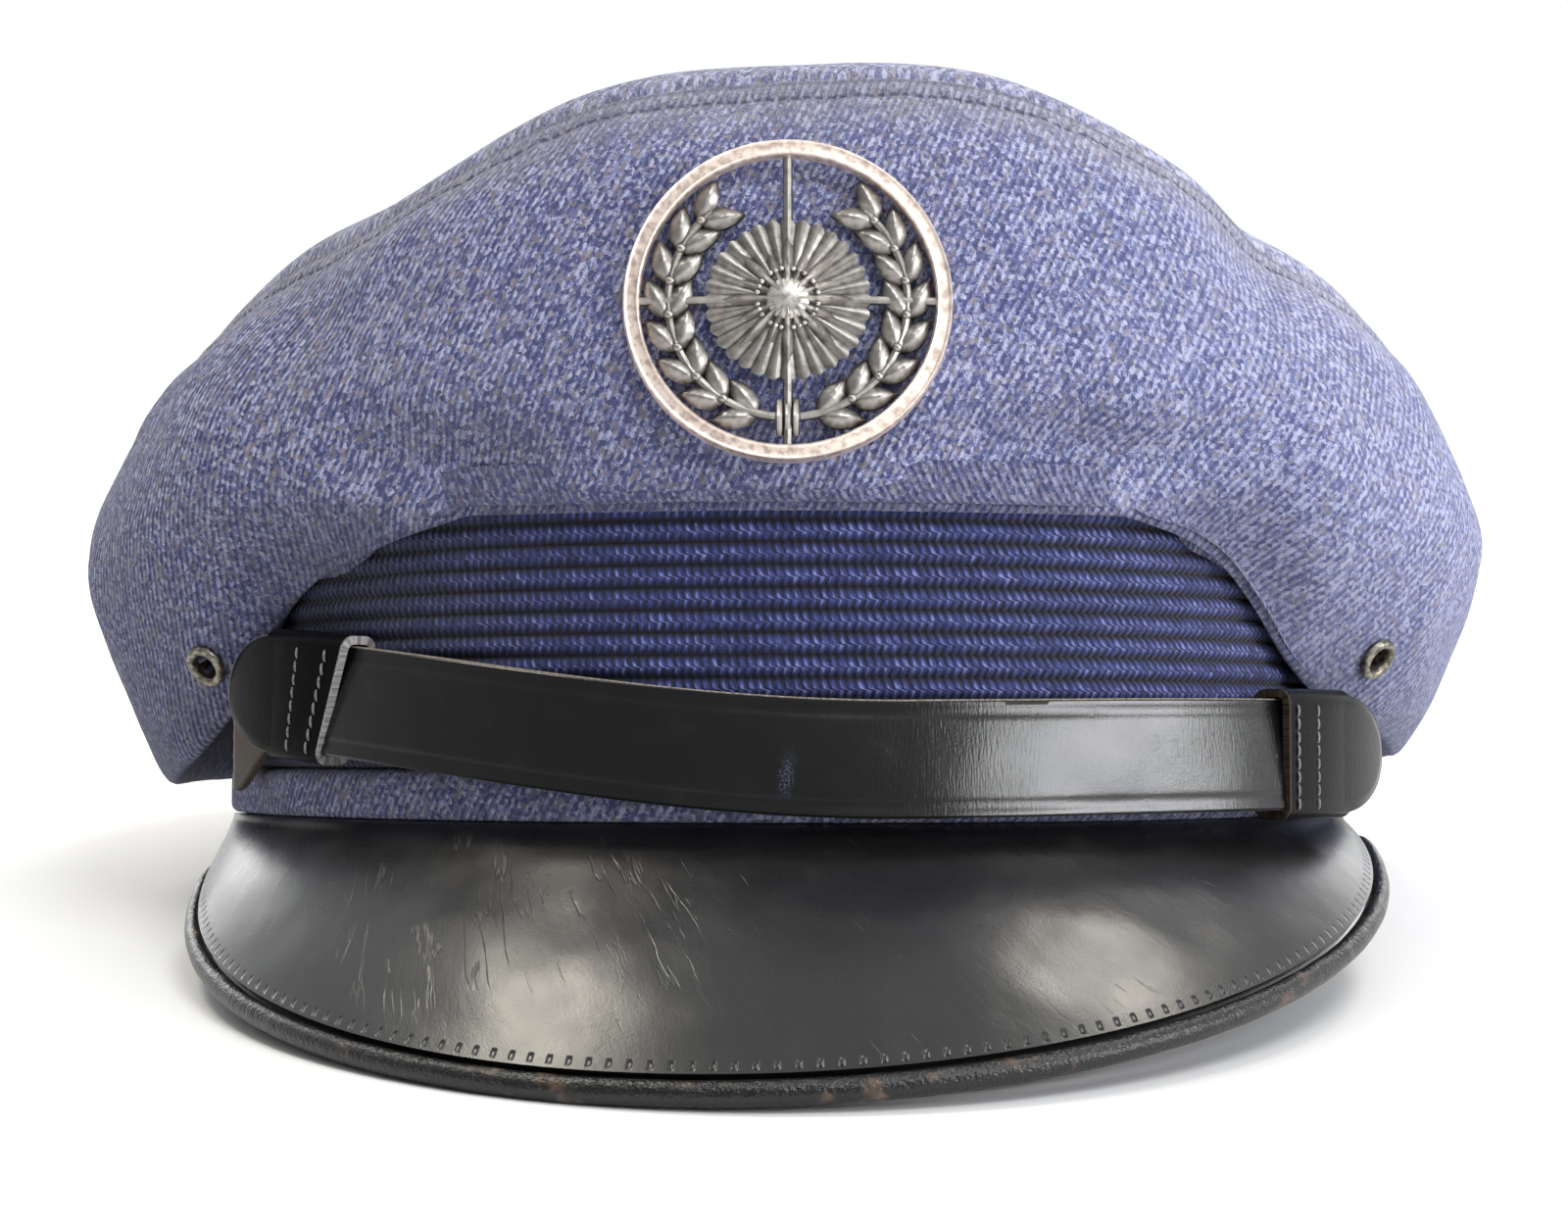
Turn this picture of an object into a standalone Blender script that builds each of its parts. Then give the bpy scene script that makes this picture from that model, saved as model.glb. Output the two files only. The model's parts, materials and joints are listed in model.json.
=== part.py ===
"""Peaked service cap: a soft cloth crown over a ribbed braid band, with a leather peak, a front
strap on two loops, two vent eyelets and a pierced metal badge.

The cap's own frame has its rim in the plane z = 0, its front towards -Y and +X to the viewer's
right. The finished cap hangs on one empty that leans it back, so that it rests on the lip of its
peak and on the back of its rim, as such a cap lies on a table. Lengths are in metres.
"""

import math

import bmesh
import bpy
from mathutils import Matrix, Vector

# Head opening and band
HEAD_HALF_WIDTH = 0.0865
HEAD_HALF_LENGTH = 0.0965
BAND_HEIGHT = 0.0439
BAND_WALL = 0.0022
WELT_HEIGHT = 0.0072
WELT_ROUNDING = 0.0014
BRAID_DEPTH = 0.0030
BRAID_RIBS = 12
RIB_GROOVE = 0.0011
GAP = 0.0003

# Crown
CLOTH = 0.0016
CROWN_RISE = 0.0576
OVERHANG = 0.0240
TOP_CENTRE_RISE = 0.0390
TOP_PUFF = 0.0086
TOP_PUFF_BACK = 0.7
HEM_INSET = 0.0024
EYELET_ANGLE = 60.5
EYELET_ALONG_LEFT = 0.545
EYELET_ALONG_RIGHT = 0.56
EYELET_RADIUS = 0.0036
EYELET_HOLE = 0.0016
EYELET_METAL = 0.0005
EYELET_LIFT = 0.0006

# Peak
PEAK_HALF_ANGLE = 74.0
PEAK_REACH = 0.0390
PEAK_DROP = 0.0316
PEAK_ROLL = 9.0
PEAK_BLUNT = 0.965
PEAK_CROWNING = 0.0022
PEAK_THICKNESS = 0.0024
PEAK_TUCK = 0.0030
BEAD_DIAMETER = 0.0034

# Front strap
STRAP_WIDTH = 0.0158
STRAP_THICKNESS = 0.0015
STRAP_HEIGHT = 0.0084
STRAP_CLIMB = 0.0103
CLIMB_FROM = -10.0
CLIMB_TO = 60.0
STRAP_RIGHT_LIFT = 0.0010
UNDER_DROOP = 0.0085
STAND_OFF_LEFT = 0.0015
STAND_OFF_RIGHT = 0.0045
STAND_OFF_FROM = 25.0
LEFT_END = 57.5
RIGHT_END = 62.0
TAIL_EXTRA = 4.0
TAIL_WIDTH = 0.0130
LOOP_LENGTH = 0.0150
LOOP_LEATHER = 0.0012
LOOP_ROUNDING = 0.0003
TAB_NECK = 0.0030
PIN_RADIUS = 0.0011
BUTTON_RADIUS = 0.0052
BUTTON_HEAD = 0.0012
BUTTON_INSIDE = 0.0006

# Badge
BADGE_RADIUS = 0.0221
BADGE_RING_WIDTH = 0.0023
BADGE_RING_DEPTH = 0.0020
BADGE_RELIEF = 0.0022
BADGE_HEIGHT = 0.0697
BADGE_LIFT = 0.0005
POST_RADIUS = 0.0014
POST_LENGTH = 0.0052
STAR_RADIUS = 0.0104
STAR_RAYS = 8
LEAF_LENGTH = 0.0066
LEAF_WIDTH = 0.0030
LEAVES_PER_BRANCH = 8
BRANCH_RADIUS = 0.0160
STEM_RADIUS = 0.00065

# Facets
AROUND = 48
CROWN_ROWS = 12
HEM_SPANS = 2
TOP_RINGS = 7
PEAK_COLUMNS = 32
PEAK_ROWS = 6
STRAP_COLUMNS = 36

BRAID_BACK = BAND_WALL + GAP
BRAID_FACE = BRAID_BACK + BRAID_DEPTH
CROWN_BASE = BAND_HEIGHT + GAP

SERGE_BLUE = (0.085, 0.105, 0.235)
BRAID_BLUE = (0.022, 0.030, 0.120)
BLACK_LEATHER = (0.012, 0.012, 0.013)
OLD_SILVER = (0.36, 0.33, 0.29)
DULL_BRASS = (0.16, 0.14, 0.10)

# Sections of the crown, by angle from the front, positive to the viewer's right. The columns are:
# angle in degrees; the height at which the cloth leaves the braid, as a share of the band's
# height; then, for the fold, the bulge, the shoulder and the seam, how far out of the braid's face
# they lie, as a share of the overhang, and how high above the band, as a share of the crown's rise.
CROWN_SECTIONS = (
    # angle  leaves  fold out, up    bulge out, up  shoulder out, up  seam out, up
    (-180.0, 0.66, 0.44, -0.554, 0.86, -0.09, 0.76, 0.15, 0.46, 0.27),
    (-150.0, 0.60, 0.46, -0.600, 0.90, -0.09, 0.80, 0.15, 0.50, 0.28),
    (-120.0, 0.54, 0.48, -0.650, 0.93, -0.09, 0.82, 0.17, 0.55, 0.29),
    (-90.0, 0.48, 0.46, -0.684, 0.96, -0.12, 0.78, 0.18, 0.47, 0.29),
    (-72.0, 0.46, 0.36, -0.630, 0.88, -0.10, 0.70, 0.24, 0.37, 0.39),
    (-61.0, 0.44, 0.22, -0.460, 0.75, -0.05, 0.63, 0.32, 0.28, 0.50),
    (-51.0, 0.72, 0.14, -0.180, 0.60, 0.04, 0.54, 0.41, 0.20, 0.61),
    (-40.0, 0.87, 0.10, -0.095, 0.43, 0.17, 0.35, 0.52, 0.04, 0.69),
    (-20.0, 1.01, 0.07, 0.060, 0.23, 0.31, 0.09, 0.70, -0.19, 0.93),
    (0.0, 1.01, 0.03, 0.080, 0.11, 0.32, -0.04, 0.74, -0.33, 1.00),
    (20.0, 1.01, 0.07, 0.060, 0.23, 0.31, 0.09, 0.73, -0.19, 0.985),
    (40.0, 0.87, 0.10, -0.090, 0.43, 0.17, 0.35, 0.55, 0.04, 0.79),
    (55.0, 0.48, 0.16, -0.400, 0.66, -0.02, 0.58, 0.40, 0.22, 0.62),
    (70.0, 0.46, 0.32, -0.540, 0.87, -0.08, 0.70, 0.27, 0.37, 0.48),
    (90.0, 0.48, 0.42, -0.610, 0.95, -0.10, 0.78, 0.20, 0.47, 0.36),
    (120.0, 0.54, 0.46, -0.620, 0.93, -0.09, 0.82, 0.18, 0.55, 0.31),
    (150.0, 0.60, 0.46, -0.590, 0.90, -0.09, 0.80, 0.15, 0.50, 0.28),
    (180.0, 0.66, 0.44, -0.554, 0.86, -0.09, 0.76, 0.15, 0.46, 0.27),
)

# Dents and folds pressed into the crown. The columns are: angle in degrees; height above the band
# as a share of the crown's rise; the spread along the angle in degrees and up the crown as a share
# of its rise; and the depth as a share of the overhang, below zero where the cloth stands out.
CROWN_DENTS = (
    # angle  up     spread  up    depth
    (47.0, 0.62, 6.0, 0.10, 0.13),
    (-46.0, 0.50, 7.0, 0.09, 0.07),
    (-31.0, 0.10, 6.0, 0.07, 0.09),
    (-38.0, 0.02, 4.0, 0.08, -0.07),
    (28.0, 0.13, 9.0, 0.07, 0.08),
    (44.0, 0.14, 6.0, 0.12, -0.06),
    (-112.0, 0.02, 9.0, 0.14, 0.08),
    (118.0, -0.04, 8.0, 0.13, 0.07),
    (160.0, 0.06, 12.0, 0.12, 0.06),
)


def clear_scene():
    for thing in list(bpy.data.objects):
        bpy.data.objects.remove(thing)


def new_collection(name, parent):
    collection = bpy.data.collections.new(name)
    parent.children.link(collection)
    return collection


def material(name, colour, roughness, metallic=0.0):
    made = bpy.data.materials.new(name)
    made.use_nodes = True
    shader = made.node_tree.nodes["Principled BSDF"]
    shader.inputs["Base Color"].default_value = (*colour, 1.0)
    shader.inputs["Roughness"].default_value = roughness
    shader.inputs["Metallic"].default_value = metallic
    return made


def smooth_step(low, high, value):
    share = min(1.0, max(0.0, (value - low) / (high - low)))
    return share * share * (3.0 - 2.0 * share)


def oval(angle, out):
    """Point in plan at an angle in radians from the front, out of the head opening's oval."""
    return Vector((
        (HEAD_HALF_WIDTH + out) * math.sin(angle),
        -(HEAD_HALF_LENGTH + out) * math.cos(angle),
        0.0,
    ))


def spline(points, share):
    """Point at a share, 0 to 1, along a Catmull-Rom curve through all the points."""
    spans = len(points) - 1
    place = min(max(share, 0.0), 1.0) * spans
    start = min(int(place), spans - 1)
    t = place - start
    p1, p2 = points[start], points[start + 1]
    p0 = points[start - 1] if start else p1
    p3 = points[start + 2] if start + 2 <= spans else p2
    bend = 2.0 * p0 - 5.0 * p1 + 4.0 * p2 - p3
    twist = 3.0 * (p1 - p2) + p3 - p0
    return 0.5 * (2.0 * p1 + (p2 - p0) * t + bend * t * t + twist * t * t * t)


def grid_mesh(name, rows, close_around, cap_ends=False):
    """Mesh with a vertex for each point of each row, and quads between neighbours."""
    mesh = bmesh.new()
    verts = [[mesh.verts.new(point) for point in row] for row in rows]
    count = len(rows[0])
    for lower, upper in zip(verts, verts[1:]):
        for i in range(count if close_around else count - 1):
            j = (i + 1) % count
            mesh.faces.new((lower[i], lower[j], upper[j], upper[i]))
    if cap_ends:
        mesh.faces.new(verts[0][::-1])
        mesh.faces.new(verts[-1])
    return finish_mesh(name, mesh)


def finish_mesh(name, mesh, outward=False):
    if outward:
        bmesh.ops.recalc_face_normals(mesh, faces=mesh.faces)
    data = bpy.data.meshes.new(name)
    mesh.to_mesh(data)
    mesh.free()
    return data


def add_object(name, data, look, collection, parent):
    thing = bpy.data.objects.new(name, data)
    collection.objects.link(thing)
    thing.parent = parent
    if look is not None:
        data.materials.append(look)
        data.shade_smooth()
        data.set_sharp_from_angle(angle=math.radians(40.0))
    return thing


def add_solidify(thing, thickness, offset, even=True):
    shell = thing.modifiers.new("wall", "SOLIDIFY")
    shell.thickness = thickness
    shell.offset = offset
    shell.use_even_offset = even


def add_boolean(thing, other, operation):
    step = thing.modifiers.new(operation.lower(), "BOOLEAN")
    step.operation = operation
    step.object = other


def as_cutter(thing):
    thing.hide_render = True
    thing.display_type = "WIRE"


def cylinder_data(name, radius, depth, sides):
    mesh = bmesh.new()
    bmesh.ops.create_cone(
        mesh, cap_ends=True, segments=sides, radius1=radius, radius2=radius, depth=depth
    )
    return finish_mesh(name, mesh)


def facing(point, normal):
    """Matrix that carries local +Z onto the normal, at the point."""
    return Matrix.Translation(point) @ normal.to_track_quat("Z", "Y").to_matrix().to_4x4()


# Crown

def crown_section(angle):
    """The table's section at an angle in radians, eased between its rows."""
    degrees = math.degrees(math.remainder(angle, 2.0 * math.pi))
    for row, after in zip(CROWN_SECTIONS, CROWN_SECTIONS[1:]):
        if row[0] <= degrees <= after[0]:
            break
    span = after[0] - row[0]
    place = CROWN_SECTIONS.index(row)
    before = CROWN_SECTIONS[place - 1] if place else CROWN_SECTIONS[-2]
    beyond = CROWN_SECTIONS[place + 2] if place + 2 < len(CROWN_SECTIONS) else CROWN_SECTIONS[1]
    t = (degrees - row[0]) / span
    span_before = row[0] - before[0] if place else span
    span_beyond = beyond[0] - after[0] if place + 2 < len(CROWN_SECTIONS) else span
    eased = []
    for column in range(1, len(row)):
        slope_a = (after[column] - before[column]) / (span + span_before) * span
        slope_b = (beyond[column] - row[column]) / (span + span_beyond) * span
        a, b = row[column], after[column]
        eased.append(
            (2 * t**3 - 3 * t**2 + 1) * a
            + (t**3 - 2 * t**2 + t) * slope_a
            + (3 * t**2 - 2 * t**3) * b
            + (t**3 - t**2) * slope_b
        )
    return eased


def crown_profile(angle):
    """The cloth's outer surface at an angle, as (out of the opening, height) from hem to seam."""
    leaves, *pairs = crown_section(angle)
    over = smooth_step(1.01, 0.98, leaves)
    face = BRAID_FACE + GAP + (CLOTH + GAP) * over
    hem_height = CROWN_BASE + CLOTH * over
    points = [
        Vector((BRAID_FACE - HEM_INSET, hem_height)),
        Vector((face, hem_height)),
        Vector((face, BAND_HEIGHT * leaves + (GAP + CLOTH / 2.0) * (1.0 - over))),
    ]
    for out, up in zip(pairs[::2], pairs[1::2]):
        points.append(Vector((BRAID_FACE + OVERHANG * out, BAND_HEIGHT + CROWN_RISE * up)))
    return points


def dent_depth(angle, height):
    """How far the dents press the cloth in at an angle and height."""
    depth = 0.0
    for centre, up, wide, tall, share in CROWN_DENTS:
        across = math.remainder(angle - math.radians(centre), 2.0 * math.pi) / math.radians(wide)
        along = (height - BAND_HEIGHT - CROWN_RISE * up) / (CROWN_RISE * tall)
        depth += OVERHANG * share * math.exp(-0.5 * (across * across + along * along))
    return depth


def crown_point(angle, share):
    """Point of the cloth's outer face: straight along the braid, then curved up to the seam."""
    profile = crown_profile(angle)
    along = share * (len(profile) - 1)
    if along < HEM_SPANS:
        step = int(along)
        out, height = profile[step].lerp(profile[step + 1], along - step)
        dent = 0.0
    else:
        free = profile[HEM_SPANS:]
        out, height = spline(free, (along - HEM_SPANS) / (len(free) - 1))
        dent = dent_depth(angle, height) * smooth_step(0.0, 1.0, along - HEM_SPANS)
    point = oval(angle, out - dent)
    point.z = height
    return point


def crown_normal(angle, share):
    step = 0.01
    across = crown_point(angle + step, share) - crown_point(angle - step, share)
    along = crown_point(angle, share + step) - crown_point(angle, share - step)
    return across.cross(along).normalized()


def ring_angles():
    return [2.0 * math.pi * i / AROUND for i in range(AROUND)]


def top_edge(angle):
    """Where the top panel's upper face meets the inside of the seam."""
    return crown_point(angle, 1.0) - crown_normal(angle, 0.99) * (CLOTH + GAP)


def top_point(angle, reach):
    """The top panel's outer surface: reach is 1 at its edge and 0 at its middle."""
    edge = top_edge(angle)
    middle = (top_edge(0.0) + top_edge(math.pi)) / 2.0
    middle.z = BAND_HEIGHT + TOP_CENTRE_RISE
    point = middle + (edge - middle) * reach
    share = (1.0 + TOP_PUFF_BACK + (1.0 - TOP_PUFF_BACK) * math.cos(angle)) / 2.0
    puff = TOP_PUFF * share * math.sin(math.pi * reach ** 6.0)
    point.z = middle.z + (edge.z - middle.z) * reach ** 2.0 + puff
    return point


def top_reach(ring):
    """The rings lie closer together towards the seam."""
    return 1.0 - (ring / TOP_RINGS) ** 1.7


def make_crown(looks, collection, cutters, parent):
    rows = [
        [crown_point(angle, row / CROWN_ROWS) for angle in ring_angles()]
        for row in range(CROWN_ROWS + 1)
    ]
    quarters = add_object(
        "crown_quarters", grid_mesh("crown_quarters", rows, True), looks["serge"], collection, parent
    )
    add_solidify(quarters, CLOTH, -1.0, even=False)

    mesh = bmesh.new()
    rings = [
        [mesh.verts.new(top_point(angle, top_reach(ring))) for angle in ring_angles()]
        for ring in range(TOP_RINGS)
    ]
    middle = mesh.verts.new(top_point(0.0, 0.0))
    for lower, upper in zip(rings, rings[1:]):
        for i in range(AROUND):
            j = (i + 1) % AROUND
            mesh.faces.new((lower[i], lower[j], upper[j], upper[i]))
    for i in range(AROUND):
        mesh.faces.new((rings[-1][i], rings[-1][(i + 1) % AROUND], middle))
    top = add_object("crown_top", finish_mesh("crown_top", mesh), looks["serge"], collection, parent)
    add_solidify(top, CLOTH, -1.0, even=False)

    for side, name in ((-1.0, "left"), (1.0, "right")):
        angle = math.radians(side * EYELET_ANGLE)
        along = EYELET_ALONG_LEFT if side < 0 else EYELET_ALONG_RIGHT
        seat = facing(crown_point(angle, along), crown_normal(angle, along))
        hole_radius = EYELET_HOLE + EYELET_METAL + GAP
        cutter = add_object(
            "eyelet_hole_" + name,
            cylinder_data("eyelet_hole", hole_radius, 6.0 * CLOTH, 12),
            None,
            cutters,
            parent,
        )
        cutter.matrix_local = seat
        as_cutter(cutter)
        add_boolean(quarters, cutter, "DIFFERENCE")
        make_eyelet("eyelet_" + name, seat, looks["brass"], collection, parent)
    cutter = add_object(
        "badge_hole", cylinder_data("badge_hole", POST_RADIUS + GAP, 6.0 * CLOTH, 12), None, cutters, parent
    )
    cutter.matrix_local = badge_seat()
    as_cutter(cutter)
    add_boolean(quarters, cutter, "DIFFERENCE")


def turned(name, profile, closed=True):
    """Mesh with a (radius, height) profile, which the Screw modifier turns about Z."""
    mesh = bmesh.new()
    verts = [mesh.verts.new((radius, 0.0, height)) for radius, height in profile]
    for here, after in zip(verts, verts[1:]):
        mesh.edges.new((here, after))
    if closed:
        mesh.edges.new((verts[-1], verts[0]))
    return finish_mesh(name, mesh)


def add_screw(thing, steps):
    turn = thing.modifiers.new("turn", "SCREW")
    turn.steps = steps
    turn.render_steps = steps
    turn.use_merge_vertices = True
    turn.merge_threshold = 0.00001


def make_eyelet(name, seat, look, collection, parent):
    """A spool of thin metal: a barrel through the cloth, with a flange on each face."""
    barrel = EYELET_HOLE + EYELET_METAL
    front = EYELET_LIFT
    back = -CLOTH - EYELET_LIFT
    lip = EYELET_METAL
    profile = (
        (EYELET_HOLE, front + lip),
        (EYELET_RADIUS * 0.8, front + lip),
        (EYELET_RADIUS, front + lip * 0.4),
        (EYELET_RADIUS, front),
        (barrel, front),
        (barrel, back),
        (EYELET_RADIUS * 0.85, back),
        (EYELET_RADIUS * 0.85, back - lip),
        (EYELET_HOLE, back - lip),
    )
    thing = add_object(name, turned(name, profile), look, collection, parent)
    thing.matrix_local = seat
    add_screw(thing, 14)


# Band

def sweep_section(name, section):
    """Closed ring round the head opening with the (out, height) section, counter-clockwise."""
    rows = []
    for angle in ring_angles():
        row = []
        for out, height in section:
            point = oval(angle, out)
            point.z = height
            row.append(point)
        rows.append(row)
    mesh = bmesh.new()
    verts = [[mesh.verts.new(point) for point in row] for row in rows]
    count = len(section)
    for i in range(AROUND):
        here, after = verts[i], verts[(i + 1) % AROUND]
        for k in range(count):
            m = (k + 1) % count
            mesh.faces.new((here[k], here[m], after[m], after[k]))
    return finish_mesh(name, mesh, outward=True)


def make_head_band(look, collection, parent):
    """The stiff band, covered in the crown's cloth, with a soft roll at its foot."""
    face = BRAID_FACE
    edge = WELT_ROUNDING
    section = (
        (0.0, 0.0),
        (face - edge, 0.0),
        (face - 0.3 * edge, 0.3 * edge),
        (face, edge),
        (face, WELT_HEIGHT - edge),
        (face - 0.3 * edge, WELT_HEIGHT - 0.3 * edge),
        (face - edge, WELT_HEIGHT),
        (BAND_WALL, WELT_HEIGHT),
        (BAND_WALL, BAND_HEIGHT),
        (0.0, BAND_HEIGHT),
    )
    return add_object("head_band", sweep_section("head_band", section), look, collection, parent)


def braid_ribs():
    """Height of the groove below each rib and the rib pitch."""
    low = WELT_HEIGHT + GAP
    pitch = (BAND_HEIGHT - low) / BRAID_RIBS
    return low, pitch


def make_braid(look, collection, parent):
    low, pitch = braid_ribs()
    section = [(BRAID_BACK, low)]
    for rib in range(BRAID_RIBS):
        foot = low + pitch * rib
        section.append((BRAID_FACE - RIB_GROOVE, foot + 0.06 * pitch))
        section.append((BRAID_FACE, foot + 0.5 * pitch))
    section.append((BRAID_FACE - RIB_GROOVE, BAND_HEIGHT))
    section.append((BRAID_BACK, BAND_HEIGHT))
    return add_object("braid_band", sweep_section("braid_band", section), look, collection, parent)


# Peak

def peak_share(angle, roll=0.0):
    """How far the peak reaches at an angle, as a share of its reach at the front."""
    return max(0.0, math.cos((angle + roll) * 90.0 / PEAK_HALF_ANGLE))


def peak_reach(angle):
    return PEAK_REACH * peak_share(angle)


def peak_drop(angle):
    """The worn peak has rolled a little, so it drops further on the viewer's left."""
    ends = peak_share(angle) ** 0.4
    return PEAK_DROP * ends * peak_share(angle * 0.8, math.radians(PEAK_ROLL)) ** 0.9


def peak_point(angle, share):
    """The peak's upper face: share is -1 under the welt, 0 at its face and 1 at the lip."""
    if share < 0.0:
        point = oval(angle, BRAID_FACE + PEAK_TUCK * share)
        point.z = -GAP
        return point
    crowning = PEAK_CROWNING * peak_share(angle) * math.sin(math.pi * share)
    point = oval(angle, BRAID_FACE + peak_reach(angle) * share)
    point.z = crowning - peak_drop(angle) * share - GAP
    return point


def peak_angles():
    half = math.radians(PEAK_HALF_ANGLE) * PEAK_BLUNT
    return [half * (2.0 * i / PEAK_COLUMNS - 1.0) for i in range(PEAK_COLUMNS + 1)]


def lip_frame(angle):
    """Outward direction and upward normal of the peak's upper face at the lip."""
    outward = (peak_point(angle, 1.0) - peak_point(angle, 0.9)).normalized()
    along = oval(angle + 0.01, BRAID_FACE) - oval(angle - 0.01, BRAID_FACE)
    return outward, along.normalized().cross(outward).normalized() * -1.0


def bead_centre(angle):
    outward, upward = lip_frame(angle)
    lip = peak_point(angle, 1.0)
    return lip - outward * BEAD_DIAMETER / 2.0 - upward * PEAK_THICKNESS / 2.0


def make_peak(looks, collection, parent):
    """One leather plate. Its upper face stops short of the bead that rounds its lip."""
    rows = []
    rows.append([peak_point(angle, -1.0) for angle in peak_angles()])
    for row in range(PEAK_ROWS):
        line = []
        for angle in peak_angles():
            length = 0.0001 + math.hypot(peak_reach(angle), peak_drop(angle))
            trim = min(0.7, (BEAD_DIAMETER + GAP) / length)
            line.append(peak_point(angle, row / (PEAK_ROWS - 1) * (1.0 - trim)))
        rows.append(line)
    peak = add_object("peak", grid_mesh("peak", rows, False), looks["leather"], collection, parent)
    add_solidify(peak, PEAK_THICKNESS, 1.0)

    half = BEAD_DIAMETER / 2.0
    sides = 8
    mesh = bmesh.new()
    loops = []
    for angle in peak_angles()[1:-1]:
        outward, upward = lip_frame(angle)
        centre = bead_centre(angle)
        loops.append([
            mesh.verts.new(
                centre
                + outward * half * math.cos(2.0 * math.pi * k / sides)
                + upward * half * math.sin(2.0 * math.pi * k / sides)
            )
            for k in range(sides)
        ])
    for here, after in zip(loops, loops[1:]):
        for k in range(sides):
            m = (k + 1) % sides
            mesh.faces.new((here[k], here[m], after[m], after[k]))
    mesh.faces.new(loops[0][::-1])
    mesh.faces.new(loops[-1])
    bead = finish_mesh("peak_bead", mesh, outward=True)
    add_object("peak_bead", bead, looks["leather"], collection, parent)


# Strap

def strap_height(angle):
    """Height of the front strap's middle, which climbs towards the viewer's left."""
    climb = smooth_step(math.radians(CLIMB_FROM), math.radians(CLIMB_TO), -angle)
    lift = smooth_step(math.radians(CLIMB_FROM), math.radians(CLIMB_TO), angle)
    return STRAP_HEIGHT + STRAP_CLIMB * climb + STRAP_RIGHT_LIFT * lift


def end_angle(side):
    """Angle of the round end of the tab on a side, -1 for the viewer's left."""
    return math.radians(LEFT_END if side < 0 else RIGHT_END)


def stand_off(angle):
    """How far the strap's ends stand clear of the band."""
    most = STAND_OFF_LEFT if angle < 0 else STAND_OFF_RIGHT
    return most * smooth_step(math.radians(STAND_OFF_FROM), end_angle(angle), abs(angle))


def strap_point(angle, up, out):
    """Point by the strap's path: up from its middle line, and out of the front strap's inner face."""
    point = oval(angle, BRAID_FACE + 2.0 * GAP + STRAP_THICKNESS + GAP + stand_off(angle) + out)
    point.z = strap_height(angle) + up
    return point


def strap_solid(name, angles, low, high, inner, outer, look, collection, parent):
    """Flat leather ribbon: low, high, inner and outer are functions of the angle."""
    rows = []
    for angle in angles:
        rows.append([
            strap_point(angle, low(angle), inner(angle)),
            strap_point(angle, low(angle), outer(angle)),
            strap_point(angle, high(angle), outer(angle)),
            strap_point(angle, high(angle), inner(angle)),
        ])
    data = grid_mesh(name, rows, True, cap_ends=True)
    fix = bmesh.new()
    fix.from_mesh(data)
    bmesh.ops.recalc_face_normals(fix, faces=fix.faces)
    fix.to_mesh(data)
    fix.free()
    return add_object(name, data, look, collection, parent)


def angles_between(start, end, count):
    return [start + (end - start) * i / count for i in range(count + 1)]


def strap_turn(length):
    """Angle that a length takes along the strap near its ends."""
    return length / (HEAD_HALF_WIDTH + BRAID_FACE + STRAP_THICKNESS * 2.0)


def tab_radius():
    return STRAP_WIDTH / 2.0 + LOOP_LEATHER


def loop_angles(side):
    """Angles of the sleeve's mouth and of its other end, where the round tab goes on."""
    end = end_angle(side) - strap_turn(tab_radius() + TAB_NECK)
    return end - strap_turn(LOOP_LENGTH), end


def front_end(side):
    """The front strap ends inside the sleeve, clear of the button's head."""
    return end_angle(side) - strap_turn(tab_radius() + BUTTON_RADIUS + 2.0 * GAP)


def make_strap(looks, cutters, collection, parent):
    half = STRAP_WIDTH / 2.0
    strap_solid(
        "strap_front",
        angles_between(-front_end(-1), front_end(1), STRAP_COLUMNS),
        lambda angle: -half,
        lambda angle: half,
        lambda angle: 0.0,
        lambda angle: STRAP_THICKNESS,
        looks["leather"], collection, parent,
    )
    extra = math.radians(TAIL_EXTRA)

    def droop(angle):
        """The under strap's free end hangs down past the raised loop."""
        return UNDER_DROOP * smooth_step(loop_angles(-1)[1], end_angle(-1) + extra, -angle)

    under = strap_solid(
        "strap_under",
        angles_between(-end_angle(-1) - extra, end_angle(1) - extra, STRAP_COLUMNS),
        lambda angle: -TAIL_WIDTH / 2.0 - droop(angle),
        lambda angle: TAIL_WIDTH / 2.0 - droop(angle),
        lambda angle: -GAP - STRAP_THICKNESS,
        lambda angle: -GAP,
        looks["leather"], collection, parent,
    )
    for side, name in ((-1.0, "left"), (1.0, "right")):
        make_loop("strap_loop_" + name, side, looks["leather"], collection, cutters, parent)
    return under


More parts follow.
